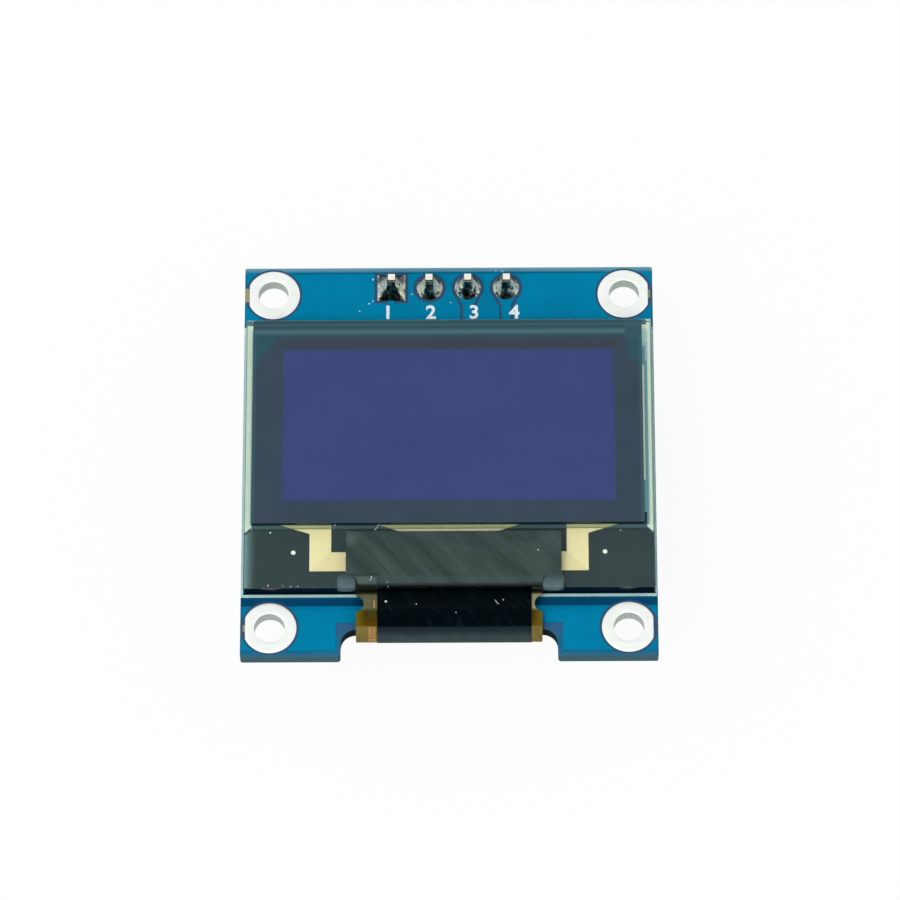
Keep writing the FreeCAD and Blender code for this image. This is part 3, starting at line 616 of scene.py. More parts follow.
def make_polarizer_finish():
    """Dark polarizer; the pixel area, the seal and its corners show through it."""
    s = Surface("polarizer")
    left, right, top = polarizer_left_x, polarizer_right_x, polarizer_top_y
    cloud, _ = s.grain(3.0)
    fine, pores = s.grain(0.08, 0.0006)
    s.colour = s.blend(cloud, (51, 65, 79), (56, 69, 85))

    # The fade, the warm strip, the band and the line along the upper side
    s.lay_box((left, right), (8.1, top + 1), 0.3, (46, 76, 86))
    s.lay_box((-10.6, 11.2), (7.24, 7.95), 0.2, (58, 63, 75), 0.8)
    s.lay_box((left, 11.6), (8.36, 8.66), 0.14, (72, 104, 114))
    s.lay_box((left - 1, right + 1), (8.96, 9.08), 0.05, (58, 90, 96))

    # The upper corners and the strips at both sides
    corners = [
        (-1, left, -11.1, (-2.11, 1.66), (-12.0, 7.13)),
        (1, right, 11.8, (0.93, 0.97), (11.73, 6.93)),
    ]
    for side, end, start, direction, through in corners:
        beyond = s.slope(direction, through, 0.2)
        beside = s.rectangle((start, end + side), (4.5, 8.2), 0.2)
        s.lay(s.both(beyond, beside), (42, 80, 92))
        s.lay_box((end, end - side * 0.2), (-6.0, 8.3), 0.1, (60, 92, 98), 0.6)
    s.lay_box((11.6, right + 1), (8.0, top + 1), 0.1, (62, 96, 108), 0.25)

    pixels = s.blend(s.grain(4.0)[0], (53, 66, 112), (57, 69, 118))
    s.lay_box((-10.87, 10.87), (-3.68, 7.19), 0.06, pixels)
    inputs = {0: 1.0, 6: s.colour, 7: s.blend(fine, (0, 0, 0), (8, 9, 10))}
    s.colour = s.add("ShaderNodeMix", inputs, data_type="RGBA", blend_type="ADD").outputs[2]
    # Painted shade on the walls and the underside of the polarizer
    s.lay(s.maths("LESS_THAN", s.upright(), 0.5), (14, 32, 38))
    s.let_light_through(0.45, (250, 250, 250))
    return s.finished(pores, roughness=s.between(cloud, 0.1, 0.18), specular_ior_level=0.12)


def make_trace_finish():
    """Pale metal traces behind the glass, olive where the cap glass and seal lie behind them, with
    painted light and a painted shadow along the polarizer's edge.
    """
    s = Surface("ledge_traces")
    cloud, _ = s.grain(0.8)
    s.colour = s.blend(cloud, (242, 226, 170), (248, 234, 180))
    # A slightly darker painted sheen on the foot, where its fine lines turn
    for side in (-1, 1):
        foot = s.slope((-side, -1.0), (side * 9.07, -8.42), 0.02)
        low = s.rectangle((side * 5.0, side * 9.07), (-8.5, -7.0), 0.02)
        s.lay(s.both(foot, low), (238, 220, 166))
    for x in (-10.11, 10.16):
        s.lay(s.disc(x, -7.1, 0.4), (176, 180, 150))
        s.lay(s.disc(x, -7.1, 0.13, 0.05), (255, 253, 240))

    # From the edge of the polarizer upwards: painted light, the olive band, its line and a painted
    # shadow
    wide = (-13.5, 13.5)
    # Painted light that lifts the strip lying in the shade of the polarizer's edge
    s.lay_box((-4.6, 4.6), (-5.7, -5.4), 0.03, (255, 252, 214))
    s.lay_box(wide, (-5.42, -4.0), 0.02, s.blend(cloud, (176, 182, 134), (194, 198, 148)))
    s.lay_box(wide, (-5.44, -5.37), 0.02, (140, 142, 90))
    # Painted shadow under the polarizer's edge
    s.lay_box(wide, (-5.15, -4.0), 0.02, (24, 34, 28))
    return s.finished(roughness=0.5, metallic=0.1, specular_ior_level=0.2)


def make_ledge_mask_finish():
    """Dark lacquer behind the ledge, with a pale haze at its left end."""
    s = Surface("ledge_lacquer")
    s.colour = s.blend(s.grain(2.0)[0], (34, 52, 54), (42, 58, 60))
    haze = s.spread(s.x, -12.5, -13.35)
    s.lay(haze, (128, 160, 160), haze)
    return s.finished(roughness=0.6, specular_ior_level=0.1)


def make_seal_finish():
    """Cured seal resin: cream outside, blue-green inside, steel and dark along its lower bar, where the
    darkest part is a painted shadow of the polarizer's edge.
    """
    s = Surface("seal_resin")
    cloud, bumps = s.grain(0.5, 0.004)
    s.colour = s.blend(cloud, (212, 228, 206), (224, 238, 216))

    # The left side, then the right side with its pale thread, then the top
    s.lay_box((-13.0, -12.7), (-5.2, 8.9), 0.03, (164, 196, 196))
    s.lay_box((12.6, 13.08), (-5.2, 8.9), 0.03, (108, 164, 174))
    s.lay_box((12.7, 12.86), (-2.0, 6.3), 0.02, (240, 250, 226))
    s.lay_box((12.7, 13.08), (7.7, 8.95), 0.05, (182, 220, 220))
    s.lay_box((12.95, 13.1), (6.6, 8.0), 0.05, (172, 192, 208))
    s.lay_box((-14.0, 13.06), (9.26, 10.0), 0.05, (66, 102, 100))
    # Rims at the glass's edges: pale at the left, and a painted shadow of the glass's edge at the right
    for side, rim in ((-1, (190, 212, 206)), (1, (112, 152, 154))):
        s.lay_box((side * 13.31, side * 13.6), (-12.0, 12.0), 0.02, rim)

    bar = (-12.87, 12.92)
    s.lay_box(bar, (-6.0, -4.4), 0.02, s.blend(cloud, (64, 90, 98), (82, 108, 116)))
    s.lay_box(bar, (-6.0, -5.4), 0.02, (38, 55, 57))
    # Painted shadow of the polarizer's edge on the bar
    s.lay_box(bar, (-5.17, -4.3), 0.02, (12, 34, 40))
    return s.finished(bumps, roughness=0.5, specular_ior_level=0.3)


def make_tape_finish():
    """Dark metallised tape, brushed along its diagonal, with a painted sheen at its upper left corner
    and right end, and the step of the film under it.
    """
    s = Surface("shield_tape")
    turn = (0.0, 0.0, math.radians(48))
    lines, creases = s.streaks(0.9, 6.0, turn=turn), s.streaks(0.2, 16.0, turn=turn)
    cloud, swell = s.grain(1.6, 0.02)
    s.colour = s.blend(lines, (36, 53, 50), (63, 79, 75))
    s.lay(cloud, (44, 58, 57), 0.4)
    # Painted sheen at the upper left corner and, fainter, at the right end
    right = s.both(s.rectangle((5.6, 7.4), (-7.2, -5.8), 0.4), 0.4)
    painted_sheen = s.either(s.rectangle((-6.75, -6.0), (-6.7, -5.85), 0.3), right)
    s.lay(painted_sheen, (88, 101, 102), 0.45)
    s.lay(s.spread(creases, 0.86, 1.0), (90, 104, 104), 0.3)
    s.lay(s.spread(creases, 0.14, 0.0), (30, 44, 42), 0.4)

    # The step of the film, and the lower end
    s.lay_box((-6.7, -4.6), (-8.97, -8.8), 0.09, (34, 47, 47), 0.75)
    s.lay_box((-7.0, 7.6), (-9.5, -9.0), 0.12, (66, 80, 82), 0.3)
    s.lay_box((-7.0, -4.7), (-9.6, -9.0), 0.07, (84, 98, 94), 0.6)
    s.lay_box((-7.0, 7.6), (-10.0, -9.52), 0.1, (17, 32, 33))
    s.lay(s.dust(0.8, 0.05, 0.1), (130, 144, 146), 0.6)
    height = s.maths("ADD", swell, s.both(lines, 0.004))
    height = s.maths("ADD", height, s.grain(0.1, 0.003)[1])
    return s.finished(height, roughness=s.between(lines, 0.42, 0.6), specular_ior_level=0.2)


def make_glue_finish():
    """Clear glue with a blue-grey haze that thins out towards its upper end."""
    s = Surface("clear_glue")
    cloud, swell = s.grain(0.5, 0.01)
    s.colour = s.blend(cloud, (96, 120, 124), (118, 140, 144))
    thick = s.spread(s.y, -8.75, -9.35)
    haze = s.maths("ADD", s.both(thick, 0.36), s.both(cloud, 0.1))
    return s.finished(swell, roughness=0.3, alpha=haze, specular_ior_level=0.2)


def make_film_finish():
    """Amber film: olive where it is single, darker over the traces, brown and coppery in the bend."""
    s = Surface("amber_film")
    cloud, swell = s.grain(0.7, 0.004)
    front = s.above(s.z, -0.35)
    s.colour = s.blend(cloud, (132, 104, 54), (150, 120, 66))
    s.lay(front, s.blend(cloud, (98, 88, 44), (120, 104, 54)))

    # Over the traces, with a paler line at both sides and one small via
    layered = s.both(s.spread(s.y, -12.12, -12.06), front)
    deep = s.blend(s.spread(s.y, -12.0, -11.2), (84, 60, 4), (54, 48, 10))
    outside = s.spread(s.maths("ABSOLUTE", s.x), 5.4, 5.9)
    s.lay(layered, s.blend(s.both(outside, 0.7), deep, (108, 94, 8)))
    via = s.both(s.disc(-5.0, -11.23, 0.27, 0.03), 0.3)
    s.lay(via, (84, 74, 34), layered)

    # The single film above, and its end below the tape, painted dark as the shadow of the glass
    plain = s.blend(cloud, (70, 74, 46), (86, 86, 56))
    streak = s.streaks(0.16, 12.0, turn=(0.0, 0.0, math.pi / 2))
    plain = s.blend(s.both(streak, 0.35), plain, (136, 130, 96))
    plain = s.blend(s.both(s.spread(s.x, 5.35, 5.45), 0.6), plain, (158, 158, 118))
    s.lay(s.spread(s.y, -11.05, -10.85), plain, front)
    # Painted shadow of the glass over the end of the film
    s.lay(s.spread(s.y, -10.02, -9.86), (20, 26, 16), front)

    # Copper marks: an upright line, and rows of two dashes
    marks = s.rectangle((-4.91, -4.81), (-10.84, -10.36))
    for row in range(6):
        y = -12.2 - 0.12 * row
        for x in (-5.12, -4.86):
            marks = s.either(marks, s.rectangle((x - 0.11, x + 0.11), (y - 0.035, y + 0.035)))
    s.lay(s.both(marks, front), (190, 138, 86), 0.8)
    return s.finished(swell, roughness=0.35, specular_ior_level=0.06)


def make_cover_finish():
    """Black coverlay with a low gloss, greyed down the bend by a painted sheen."""
    s = Surface("black_coverlay")
    cloud, swell = s.grain(0.9, 0.006)
    fine, pores = s.grain(0.08, 0.002)
    streaks = s.streaks(0.3, 6.0, turn=(0.0, 0.0, math.radians(52)))
    s.colour = s.blend(cloud, (0, 5, 10), (0, 9, 14))
    s.lay(s.spread(streaks, 0.66, 0.9, 0.0, 0.6), (16, 26, 32))
    front = s.spread(s.z, -0.6, -0.2)
    # Painted sheen that grows down the bend
    s.lay(s.spread(s.y, -12.1, -12.24), (26, 38, 42), front)
    s.lay(s.spread(s.y, -12.4, -12.75), s.blend(cloud, (48, 59, 61), (60, 71, 73)), front)
    height = s.maths("ADD", swell, pores)
    return s.finished(height, roughness=s.between(fine, 0.3, 0.44), specular_ior_level=0.03)


def make_chip_finish(name, row_y, half_body, dark, light):
    """A chip part: ceramic in the middle, and tinned caps towards both ends."""
    s = Surface(name)
    cloud, bumps = s.grain(0.25, 0.004)
    s.colour = s.blend(cloud, dark, light)
    along = s.maths("ABSOLUTE", s.maths("SUBTRACT", s.y, row_y))
    cap = s.spread(along, half_body - 0.01, half_body + 0.01)
    s.lay(cap, s.blend(cloud, (196, 198, 196), (224, 226, 222)))
    rough, metal = s.between(cap, 0.5, 0.3), s.between(cap, 0.0, 0.9)
    return s.finished(bumps, roughness=rough, metallic=metal)


def make_plain_finish(name, dark, light, rough=0.5, metallic=0.0):
    """A plain material whose shade drifts a little."""
    s = Surface(name)
    cloud, bumps = s.grain(0.4, 0.004)
    s.colour = s.blend(cloud, dark, light)
    roughness = s.between(cloud, rough - 0.06, rough + 0.06)
    return s.finished(bumps, roughness=roughness, metallic=metallic)


black_plastic = make_moulding_finish("black_plastic", (18, 19, 21), (28, 29, 31))
case_plastic = make_moulding_finish("moulded_case", (22, 23, 25), (34, 35, 37), 0.06)
levelled_tin = make_levelled_tin_finish()
bright_solder = make_solder_finish()
plated_pin = make_pin_finish()
display_glass = make_glass_finish()
legend_ink = make_ink_finish()
outline_ink = make_outline_ink_finish()
pour_finish = make_pour_finish()
tape_finish = make_tape_finish()
film_finish = make_film_finish()
cover_finish = make_cover_finish()
glue_finish = make_glue_finish()
speck_finish = make_plain_finish("flux_crumb", (176, 196, 196), (220, 232, 232), 0.4)

# The finish of every node whose name starts like this
node_finishes = {
    "circuit_board": make_board_finish(),
    "header_pad": levelled_tin,
    "header_pin": plated_pin,
    "header_body": black_plastic,
    "mounting_tape": make_plain_finish("white_tape", (214, 216, 212), (228, 230, 226), 0.7),
    "cap_glass": display_glass,
    "drying_sheet": make_plain_finish("drying_sheet", (196, 200, 204), (216, 220, 222), 0.8),
    "seal_frame": make_seal_finish(),
    "substrate_glass": display_glass,
    "polarizer": make_polarizer_finish(),
    "pixel_matrix": make_plain_finish("pixel_layer", (40, 48, 84), (48, 56, 96), 0.4),
    "cathode_sheet": make_plain_finish("cathode_metal", (150, 154, 158), (172, 176, 180), 0.3, 0.8),
    "ledge_traces": make_trace_finish(),
    "ledge_mask": make_ledge_mask_finish(),
    "driver_chip": make_plain_finish("silicon", (62, 66, 72), (76, 80, 88), 0.3, 0.6),
    "shield_tape": tape_finish,
    "glue_tab": glue_finish,
    "flex_film": film_finish,
    "flex_coverlay": cover_finish,
    "bond_strip": make_plain_finish("bond_film", (36, 38, 26), (48, 50, 36), 0.5),
    "flex_contacts": levelled_tin,
    "flex_solder": bright_solder,
    "chip_resistor": make_chip_finish("resistor", 1.2, 0.5, (24, 24, 26), (36, 36, 38)),
    "chip_capacitor": make_chip_finish("capacitor", -3.6, 0.45, (150, 122, 84), (172, 144, 104)),
    "regulator_body": case_plastic,
    "diode_body": case_plastic,
    "regulator_leads": levelled_tin,
    "diode_leads": levelled_tin,
    "rear_solder": bright_solder,
    "pin_solder": bright_solder,
    "mounting_ring": levelled_tin,
}
soft_edges = {
    "circuit_board": 0.03,
    "header_pin": 0.03,
    "header_body": 0.05,
    "cap_glass": 0.02,
    "substrate_glass": 0.03,
    "polarizer": 0.015,
    "shield_tape": 0.01,
    "glue_tab": 0.04,
    "chip_resistor": 0.03,
    "chip_capacitor": 0.05,
    "regulator_body": 0.04,
    "diode_body": 0.04,
}


def soften(piece, width, degrees):
    """Rounds the sharp edges of a piece a little."""
    bevel = piece.modifiers.new("soft_edges", "BEVEL")
    bevel.width = width * MM
    bevel.segments = 2
    bevel.limit_method = "ANGLE"
    bevel.angle_limit = math.radians(degrees)
    return bevel


def dress_nodes():
    """Gives every solid of the part its finish, and the main ones softened edges."""
    for name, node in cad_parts.items():
        kind = max((kind for kind in node_finishes if name.startswith(kind)), key=len)
        for held in node.material_slots:
            held.material = node_finishes[kind]
        if kind in soft_edges:
            weld = node.modifiers.new("weld", "WELD")
            weld.merge_threshold = 0.0005 * MM
            soften(node, soft_edges[kind], 40).harden_normals = True


def new_piece(name, mesh, finish, smooth=False):
    """An object for a mesh, with its finish, on the part's only body."""
    mesh.polygons.foreach_set("use_smooth", [smooth] * len(mesh.polygons))
    mesh.materials.clear()
    mesh.materials.append(finish)
    piece = bpy.data.objects.new(name, mesh)
    bpy.context.scene.collection.objects.link(piece)
    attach(piece, "root")
    return piece


def solid(name, points, faces, finish, slot_name, smooth=True):
    """A piece from points in millimetres and faces."""
    mesh = bpy.data.meshes.new(name)
    mesh.from_pydata([(x * MM, y * MM, z * MM) for x, y, z in points], [], faces)
    mesh.validate()
    return new_piece(name, mesh, finish, smooth)


def sharpen(piece, degrees=35):
    """Keeps the edges above an angle sharp on a smooth piece."""
    piece.data.set_sharp_from_angle(angle=math.radians(degrees))


def ring_faces(bands, sides, start=0):
    """Faces between rings of points that follow one another."""
    faces = []
    for low in range(start, start + bands * sides, sides):
        high = low + sides
        for j in range(sides):
            k = (j + 1) % sides
            faces.append((low + j, low + k, high + k, high + j))
    return faces


def lofted(bands, sides):
    """Faces of a closed body of rings with flat ends."""
    top = bands * sides
    ends = [tuple(reversed(range(sides))), tuple(range(top, top + sides))]
    return ring_faces(bands, sides) + ends


def sheet_faces(rows, columns):
    """Faces of a thin sheet: two grids of points, one for each face, and the border between."""
    wide = columns + 1
    sheet = (rows + 1) * wide
    faces = []
    for r in range(rows):
        for c in range(columns):
            corner = r * wide + c
            quad = (corner, corner + 1, corner + 1 + wide, corner + wide)
            faces.append(quad)
            faces.append(tuple(sheet + i for i in reversed(quad)))
    border = list(range(wide))
    border += [r * wide + columns for r in range(1, rows + 1)]
    border += [rows * wide + c for c in range(columns - 1, -1, -1)]
    border += [r * wide for r in range(rows - 1, 0, -1)]
    for i, near in enumerate(border):
        far = border[(i + 1) % len(border)]
        faces.append((far, near, sheet + near, sheet + far))
    return faces


def circle(x, y, radius, count=64, start=0.0, end=360.0):
    """Points of an arc in the XY plane, in degrees; the last point of a full turn is left out."""
    steps = count if end - start == 360.0 else count - 1
    angles = [math.radians(start + (end - start) * i / steps) for i in range(count)]
    return [(x + radius * math.cos(a), y + radius * math.sin(a)) for a in angles]


def boxed(x_range, y_range):
    """The four corners of a rectangle."""
    (left, right), (low, high) = x_range, y_range
    return [(left, low), (right, low), (right, high), (left, high)]


def mirrored(outline):
    """An outline at the other side of the board."""
    return [(-x, y) for x, y in outline]


def closed_by_mirror(right):
    """An outline from its right half."""
    return right + mirrored(reversed(right))


def curve_mesh(curve, name):
    """The mesh of a curve that is then thrown away."""
    maker = bpy.data.objects.new(name + "_maker", curve)
    bpy.context.scene.collection.objects.link(maker)
    bpy.context.view_layer.update()
    mesh = bpy.data.meshes.new_from_object(maker)
    mesh.name = name
    bpy.data.objects.remove(maker)
    return mesh


def add_spline(curve, kind, points):
    """A line of a curve through points in millimetres."""
    spline = curve.splines.new(kind)
    spline.points.add(len(points) - 1)
    for point, (x, y, z) in zip(spline.points, points):
        point.co = (x * MM, y * MM, z * MM, 1.0)
    return spline


def flat_plate(name, outlines, z_range, finish, edge=0.008):
    """A thin plate with holes and soft edges, filled between its outlines."""
    curve = bpy.data.curves.new(name, "CURVE")
    curve.dimensions = "2D"
    curve.fill_mode = "BOTH"
    curve.extrude = ((z_range[1] - z_range[0]) / 2 - edge) * MM
    curve.bevel_depth = edge * MM
    curve.bevel_resolution = 2
    curve.offset = -edge * MM
    for outline in outlines:
        add_spline(curve, "POLY", [(x, y, 0.0) for x, y in outline]).use_cyclic_u = True
    mesh = curve_mesh(curve, name)
    mesh.transform(Matrix.Translation((0.0, 0.0, sum(z_range) / 2 * MM)))
    return new_piece(name, mesh, finish)


def copper(name, outlines, z_range=(0.0, copper_lift)):
    """Copper under the solder mask; on the front if no levels are given."""
    flat_plate(name, outlines, z_range, pour_finish)


def number_mesh(name, number, size, offset, extrude):
    """A plain number in print."""
    curve = bpy.data.curves.new(name, "FONT")
    curve.body = str(number)
    curve.size = size * MM
    curve.align_x = "CENTER"
    curve.offset = offset * MM
    curve.extrude = extrude * MM
    return curve_mesh(curve, name)


def crossing(reach, radius):
    """Angle from an axis, in degrees, at which a circle meets a line that crosses the axis."""
    return math.degrees(math.acos(max(-1.0, min(1.0, reach / radius))))


def corner_pour(x, y, end_y):
    """Copper at a corner of the board, cut by the gap round a ring: the inner arc and an island."""
    radius = ring_radius + ring_clearance
    up = math.copysign(1.0, end_y)
    at_side = crossing(pour_side_x - x, radius)
    past_end = crossing(abs(end_y - y), radius)
    arc = circle(0.0, 0.0, radius, 56, at_side, 270.0 - past_end)
    inner = [(x + px, y - up * py) for px, py in arc]
    outer = circle(0.0, 0.0, radius, 12, 90.0 - past_end, at_side)
    return inner, [(pour_side_x, end_y)] + [(x + px, y + up * py) for px, py in outer]


def add_island(number, outline):
    """A separate corner of copper outside a ring, and the same at the other side of the board."""
    copper("corner_copper_right_%d" % number, [outline])
    copper("corner_copper_left_%d" % number, [mirrored(outline)])


def make_lower_pour():
    """Copper below the display: round the rings, round the notch, and under the flex."""
    clear = ring_radius + ring_clearance
    x, y = ring_places[2]
    inner, island = corner_pour(x, y, pour_bottom_y)
    start = pour_lower_start_y
    reach = math.sqrt(clear**2 - (start - y) ** 2)
    right = [(x - reach, start)]
    right += [(px, py) for px, py in inner if py < start and px < x + reach - 0.001]
    right += [(pour_notch_x, pour_bottom_y), (pour_notch_x, pour_notch_y)]
    copper("lower_copper", [closed_by_mirror(right)])
    add_island(1, island)
    at_side = crossing(pour_side_x - x, clear)
    at_start = 90.0 - crossing(start - y, clear)
    add_island(2, [(pour_side_x, start), *circle(x, y, clear, 14, at_start, at_side)])


def drop_outline(x, radius, half_neck, neck_y, end_y):
    """A round pad with a neck that runs down from it, like a falling drop turned over."""
    arc = circle(x, pin_row_y, radius, 40, -35.0, 215.0)
    left = [(x - half_neck, neck_y), (x - half_neck, end_y)]
    right = [(x + half_neck, end_y), (x + half_neck, neck_y)]
    return arc + left + right


def make_upper_pour():
    """Copper above the display, with the gaps round the rings, the pads and two traces."""
    x, y = ring_places[1]
    inner, island = corner_pour(x, y, pour_top_y)
    outline = closed_by_mirror([*reversed(inner), (pour_side_x, pour_upper_end_y)])
    gaps = [circle(pin_places_x[1], pin_row_y, round_pad_gap)]
    x, y = pin_places_x[0], pin_row_y
    gaps.append([
        (x - pad_gap, y - pad_gap),
        (x - pad_spoke_half, y - pad_gap),
        (x - pad_spoke_half, y - pad_half),
        (x - pad_half, y - pad_half),
        (x - pad_half, y + pad_half),
        (x + pad_half, y + pad_half),
        (x + pad_half, y - pad_half),
        (x + pad_spoke_half, y - pad_half),
        (x + pad_spoke_half, y - pad_gap),
        (x + pad_gap, y - pad_gap),
        (x + pad_gap, y + pad_gap),
        (x - pad_gap, y + pad_gap),
    ])
    for number, half_neck in ((3, 0.5), (4, 0.46)):
        x = pin_places_x[number - 1]
        gaps.append(drop_outline(x, round_pad_gap, half_neck, 11.05, pour_upper_end_y + 0.15))
        lead = drop_outline(x, 0.89, half_neck - 0.16, 11.2, pour_upper_end_y + 0.3)
        copper("pad_trace_%d" % number, [lead])
    copper("upper_copper", [outline, *gaps])
    add_island(3, island)


def turned_solid(name, section, x, y, finish, slot_name, turns=96, reach_x=math.inf):
    """A closed section of (radius, height) turned about an upright axis, and cut off at a side."""
    points = []
    for i in range(turns):
        angle = 2 * math.pi * i / turns
        for radius, height in section:
            px = max(-reach_x, min(reach_x, x + radius * math.cos(angle)))
            points.append((px, y + radius * math.sin(angle), height))
    faces = []
    count = len(section)
    for i in range(turns):
        near, far = i * count, (i + 1) % turns * count
        for j in range(count):
            k = (j + 1) % count
            faces.append((near + j, far + j, far + k, near + k))
    piece = solid(name, points, faces, finish, slot_name)
    sharpen(piece, 50)
    return piece


def ring_section():
    """Half the plated ring: a domed flange on each face of the board and a barrel between."""
    middle = (ring_radius + ring_bore_radius) / 2
    half = (ring_radius - ring_bore_radius) / 2
    steps = 18
    upper = []
    for i in range(steps + 1):
        share = -math.cos(math.pi * i / steps)
        upper.append((middle + half * share, ring_lift * (1 - abs(share) ** 5)))
    return upper + [(radius, board_rear_z - height) for radius, height in reversed(upper)]


def make_rings():
    """The four mounting rings, with the slight dome that levelled tin has."""
    for number, (x, y) in enumerate(ring_places, 1):
        name = "levelled_ring_%d" % number
        ring = turned_solid(name, ring_section(), x, y, levelled_tin, "tinned_copper", 96, ring_reach_x)
        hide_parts("mounting_ring_%d" % number)


def rounded_reach(angle, half, power):
    """Distance to the outline of a rounded square or circle in one direction."""
    spread_x = abs(math.cos(angle)) ** power
    spread_y = abs(math.sin(angle)) ** power
    return half * (spread_x + spread_y) ** (-1 / power)


def make_solder_joint(number, x, square):
    """Solder that climbs a square pin from its pad, hollow at the sides and a little uneven."""
    levels, turns = 28, 96
    foot_half = (pad_half if square else pad_radius) + 0.012
    foot_power = 12.0 if square else 2.0
    points = []
    for i in range(levels + 1):
        share = max(0.0, (i - 1) / (levels - 1))
        height = 0.003 if i == 0 else solder_rise + (solder_top_z - solder_rise) * share**1.15
        power = 2.4 + (foot_power - 2.4) * (1 - share) ** 1.6 + 4.0 * share**4
        half = 0.3 + (foot_half - 0.3) * (1 - share) ** 1.7
        for j in range(turns):
            angle = 2 * math.pi * j / turns
            reach = rounded_reach(angle, half, power)
            drift = (math.cos(angle) * 1.3, math.sin(angle) * 1.3, share * 2.0 + number * 5.0)
            reach += 0.1 * noise.noise(Vector(drift)) * math.sin(math.pi * min(1.0, share * 1.2))
            points.append((x + reach * math.cos(angle), pin_row_y + reach * math.sin(angle), height))
    name = "solder_joint_%d" % number
    joint = solid(name, points, lofted(levels, turns), bright_solder, "solder")
    sharpen(joint, 60)
    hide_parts("pin_solder_%d" % number)


def make_solder_joints():
    """The four solder joints of the header; the first pad is square."""
    for number, x in enumerate(pin_places_x, 1):
        make_solder_joint(number, x, number == 1)


def make_pins():
    """The four square pins, tapered at both ends; the front end is sheared a little off centre."""
    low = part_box("header_pin_1")[0][2] / MM
    half = pin_half
    rings = [
        (low, 0.16, (-0.16, 0.16)),
        (low + 0.45, half, (-half, half)),
        (1.1, half, (-half, half)),
        (1.4, 0.262, (-0.205, 0.28)),
        (1.63, 0.242, (-0.19, 0.27)),
        (1.66, 0.228, (-0.176, 0.256)),
    ]
    for number, x in enumerate(pin_places_x, 1):
        points = []
        for height, wide, (near, far) in rings:
            middle = x + 0.03 * math.sin(number * 2.1) * (height > 1.5)
            corners = boxed((middle - wide, middle + wide), (pin_row_y + near, pin_row_y + far))
            points += [(px, py, height) for px, py in corners]
        faces = lofted(len(rings) - 1, 4)
        pin = solid("square_pin_%d" % number, points, faces, plated_pin, "pin_metal", False)
        soften(pin, 0.02, 30)
        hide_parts("header_pin_%d" % number)


def make_legend_numbers():
    """Plain numbers for the pins, printed above the display."""
    for number, x in enumerate((-4.04, -1.18, 1.68, 4.36), 1):
        name = "pin_number_%d" % number
        mesh = number_mesh(name, number, 1.36, 0.035, 0.012)
        mesh.transform(Matrix.Translation((x * MM, 10.22 * MM, (copper_lift + 0.012) * MM)))
        new_piece(name, mesh, legend_ink)


def make_outline_ink():
    """The printed outline of the display on the board, which ends beside the flex."""
    low_y, high_y, top_y = -9.87, -9.67, 9.55
    end_x = 5.95
    levels = (copper_lift, copper_lift + 0.02)
    for side, name, outer_x, inner_x in ((-1, "left", 13.545, 13.39), (1, "right", 13.5, 13.42)):
        outline = [
            (side * outer_x, top_y),
            (side * outer_x, low_y),
            (side * end_x, low_y),
            (side * end_x, high_y),
            (side * inner_x, high_y),
            (side * inner_x, top_y),
        ]
        flat_plate("outline_%s" % name, [outline], levels, outline_ink, 0.006)


def rounded_outline(corners):
    """A closed outline with each corner rounded; a corner is (x, y, radius)."""
    points = []
    count = len(corners)
    for i, (x, y, radius) in enumerate(corners):
        here = Vector((x, y))
        before = (Vector(corners[i - 1][:2]) - here).normalized()
        after = (Vector(corners[(i + 1) % count][:2]) - here).normalized()
        centre = here + (before + after) * radius
        for step in range(9):
            share = step / 8
            near, far = here + before * radius * (1 - share), here + after * radius * share
            outward = (near * (1 - share) + far * share - centre).normalized()
            points.append(tuple(centre + outward * radius))
    return points


def make_board():
    """The laminate: nearly square corners, a notch for the flex, and holes for rings and pins."""
    side, top = board_side_x, board_top_y
    corners = [
        (-side, top, board_corner_radius),
        (side, top, board_corner_radius),
        (side, -top, board_corner_radius),
        (notch_side_x, -top, notch_mouth_radius),
        (notch_side_x, notch_top_y, notch_corner_radius),
        (-notch_side_x, notch_top_y, notch_corner_radius),
        (-notch_side_x, -top, notch_mouth_radius),
        (-side, -top, board_corner_radius),
    ]
    outlines = [rounded_outline(corners)]
    outlines += [circle(x, y, ring_hole_radius) for x, y in ring_places]
    outlines += [circle(x, pin_row_y, pin_hole_radius, 32) for x in pin_places_x]
    finish = node_finishes["circuit_board"]
    board = flat_plate("laminate", outlines, (board_rear_z, 0.0), finish, 0.02)
    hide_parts("circuit_board")


def make_resin_frame():
    """The seal between the two glasses: a low bar behind the traces, and higher sides and top."""
    side, top = panel_side_x - 0.05, panel_top_y - 0.05
    inner_x, inner_top, cut = side - 0.6, top - 1.1, 1.6
    right = [
        (inner_x - cut, inner_top),
        (inner_x, inner_top - cut),
        (inner_x, -5.1),
        (12.87, -5.1),
        (12.87, -5.26),
        (side, -5.69),
        (side, top),
    ]
    bar = boxed((-12.9, 12.9), (cap_bottom_y, -4.4))
    plates = [
        ("resin_arch", closed_by_mirror(right), 0.047, 0.002),
        ("resin_bar", bar, 0.008, 0.001),
    ]
    for name, outline, height, edge in plates:
        levels = (seal_rear_z, seal_rear_z + height)
        piece = flat_plate(name, [outline], levels, node_finishes["seal_frame"], edge)
        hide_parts("seal_frame")


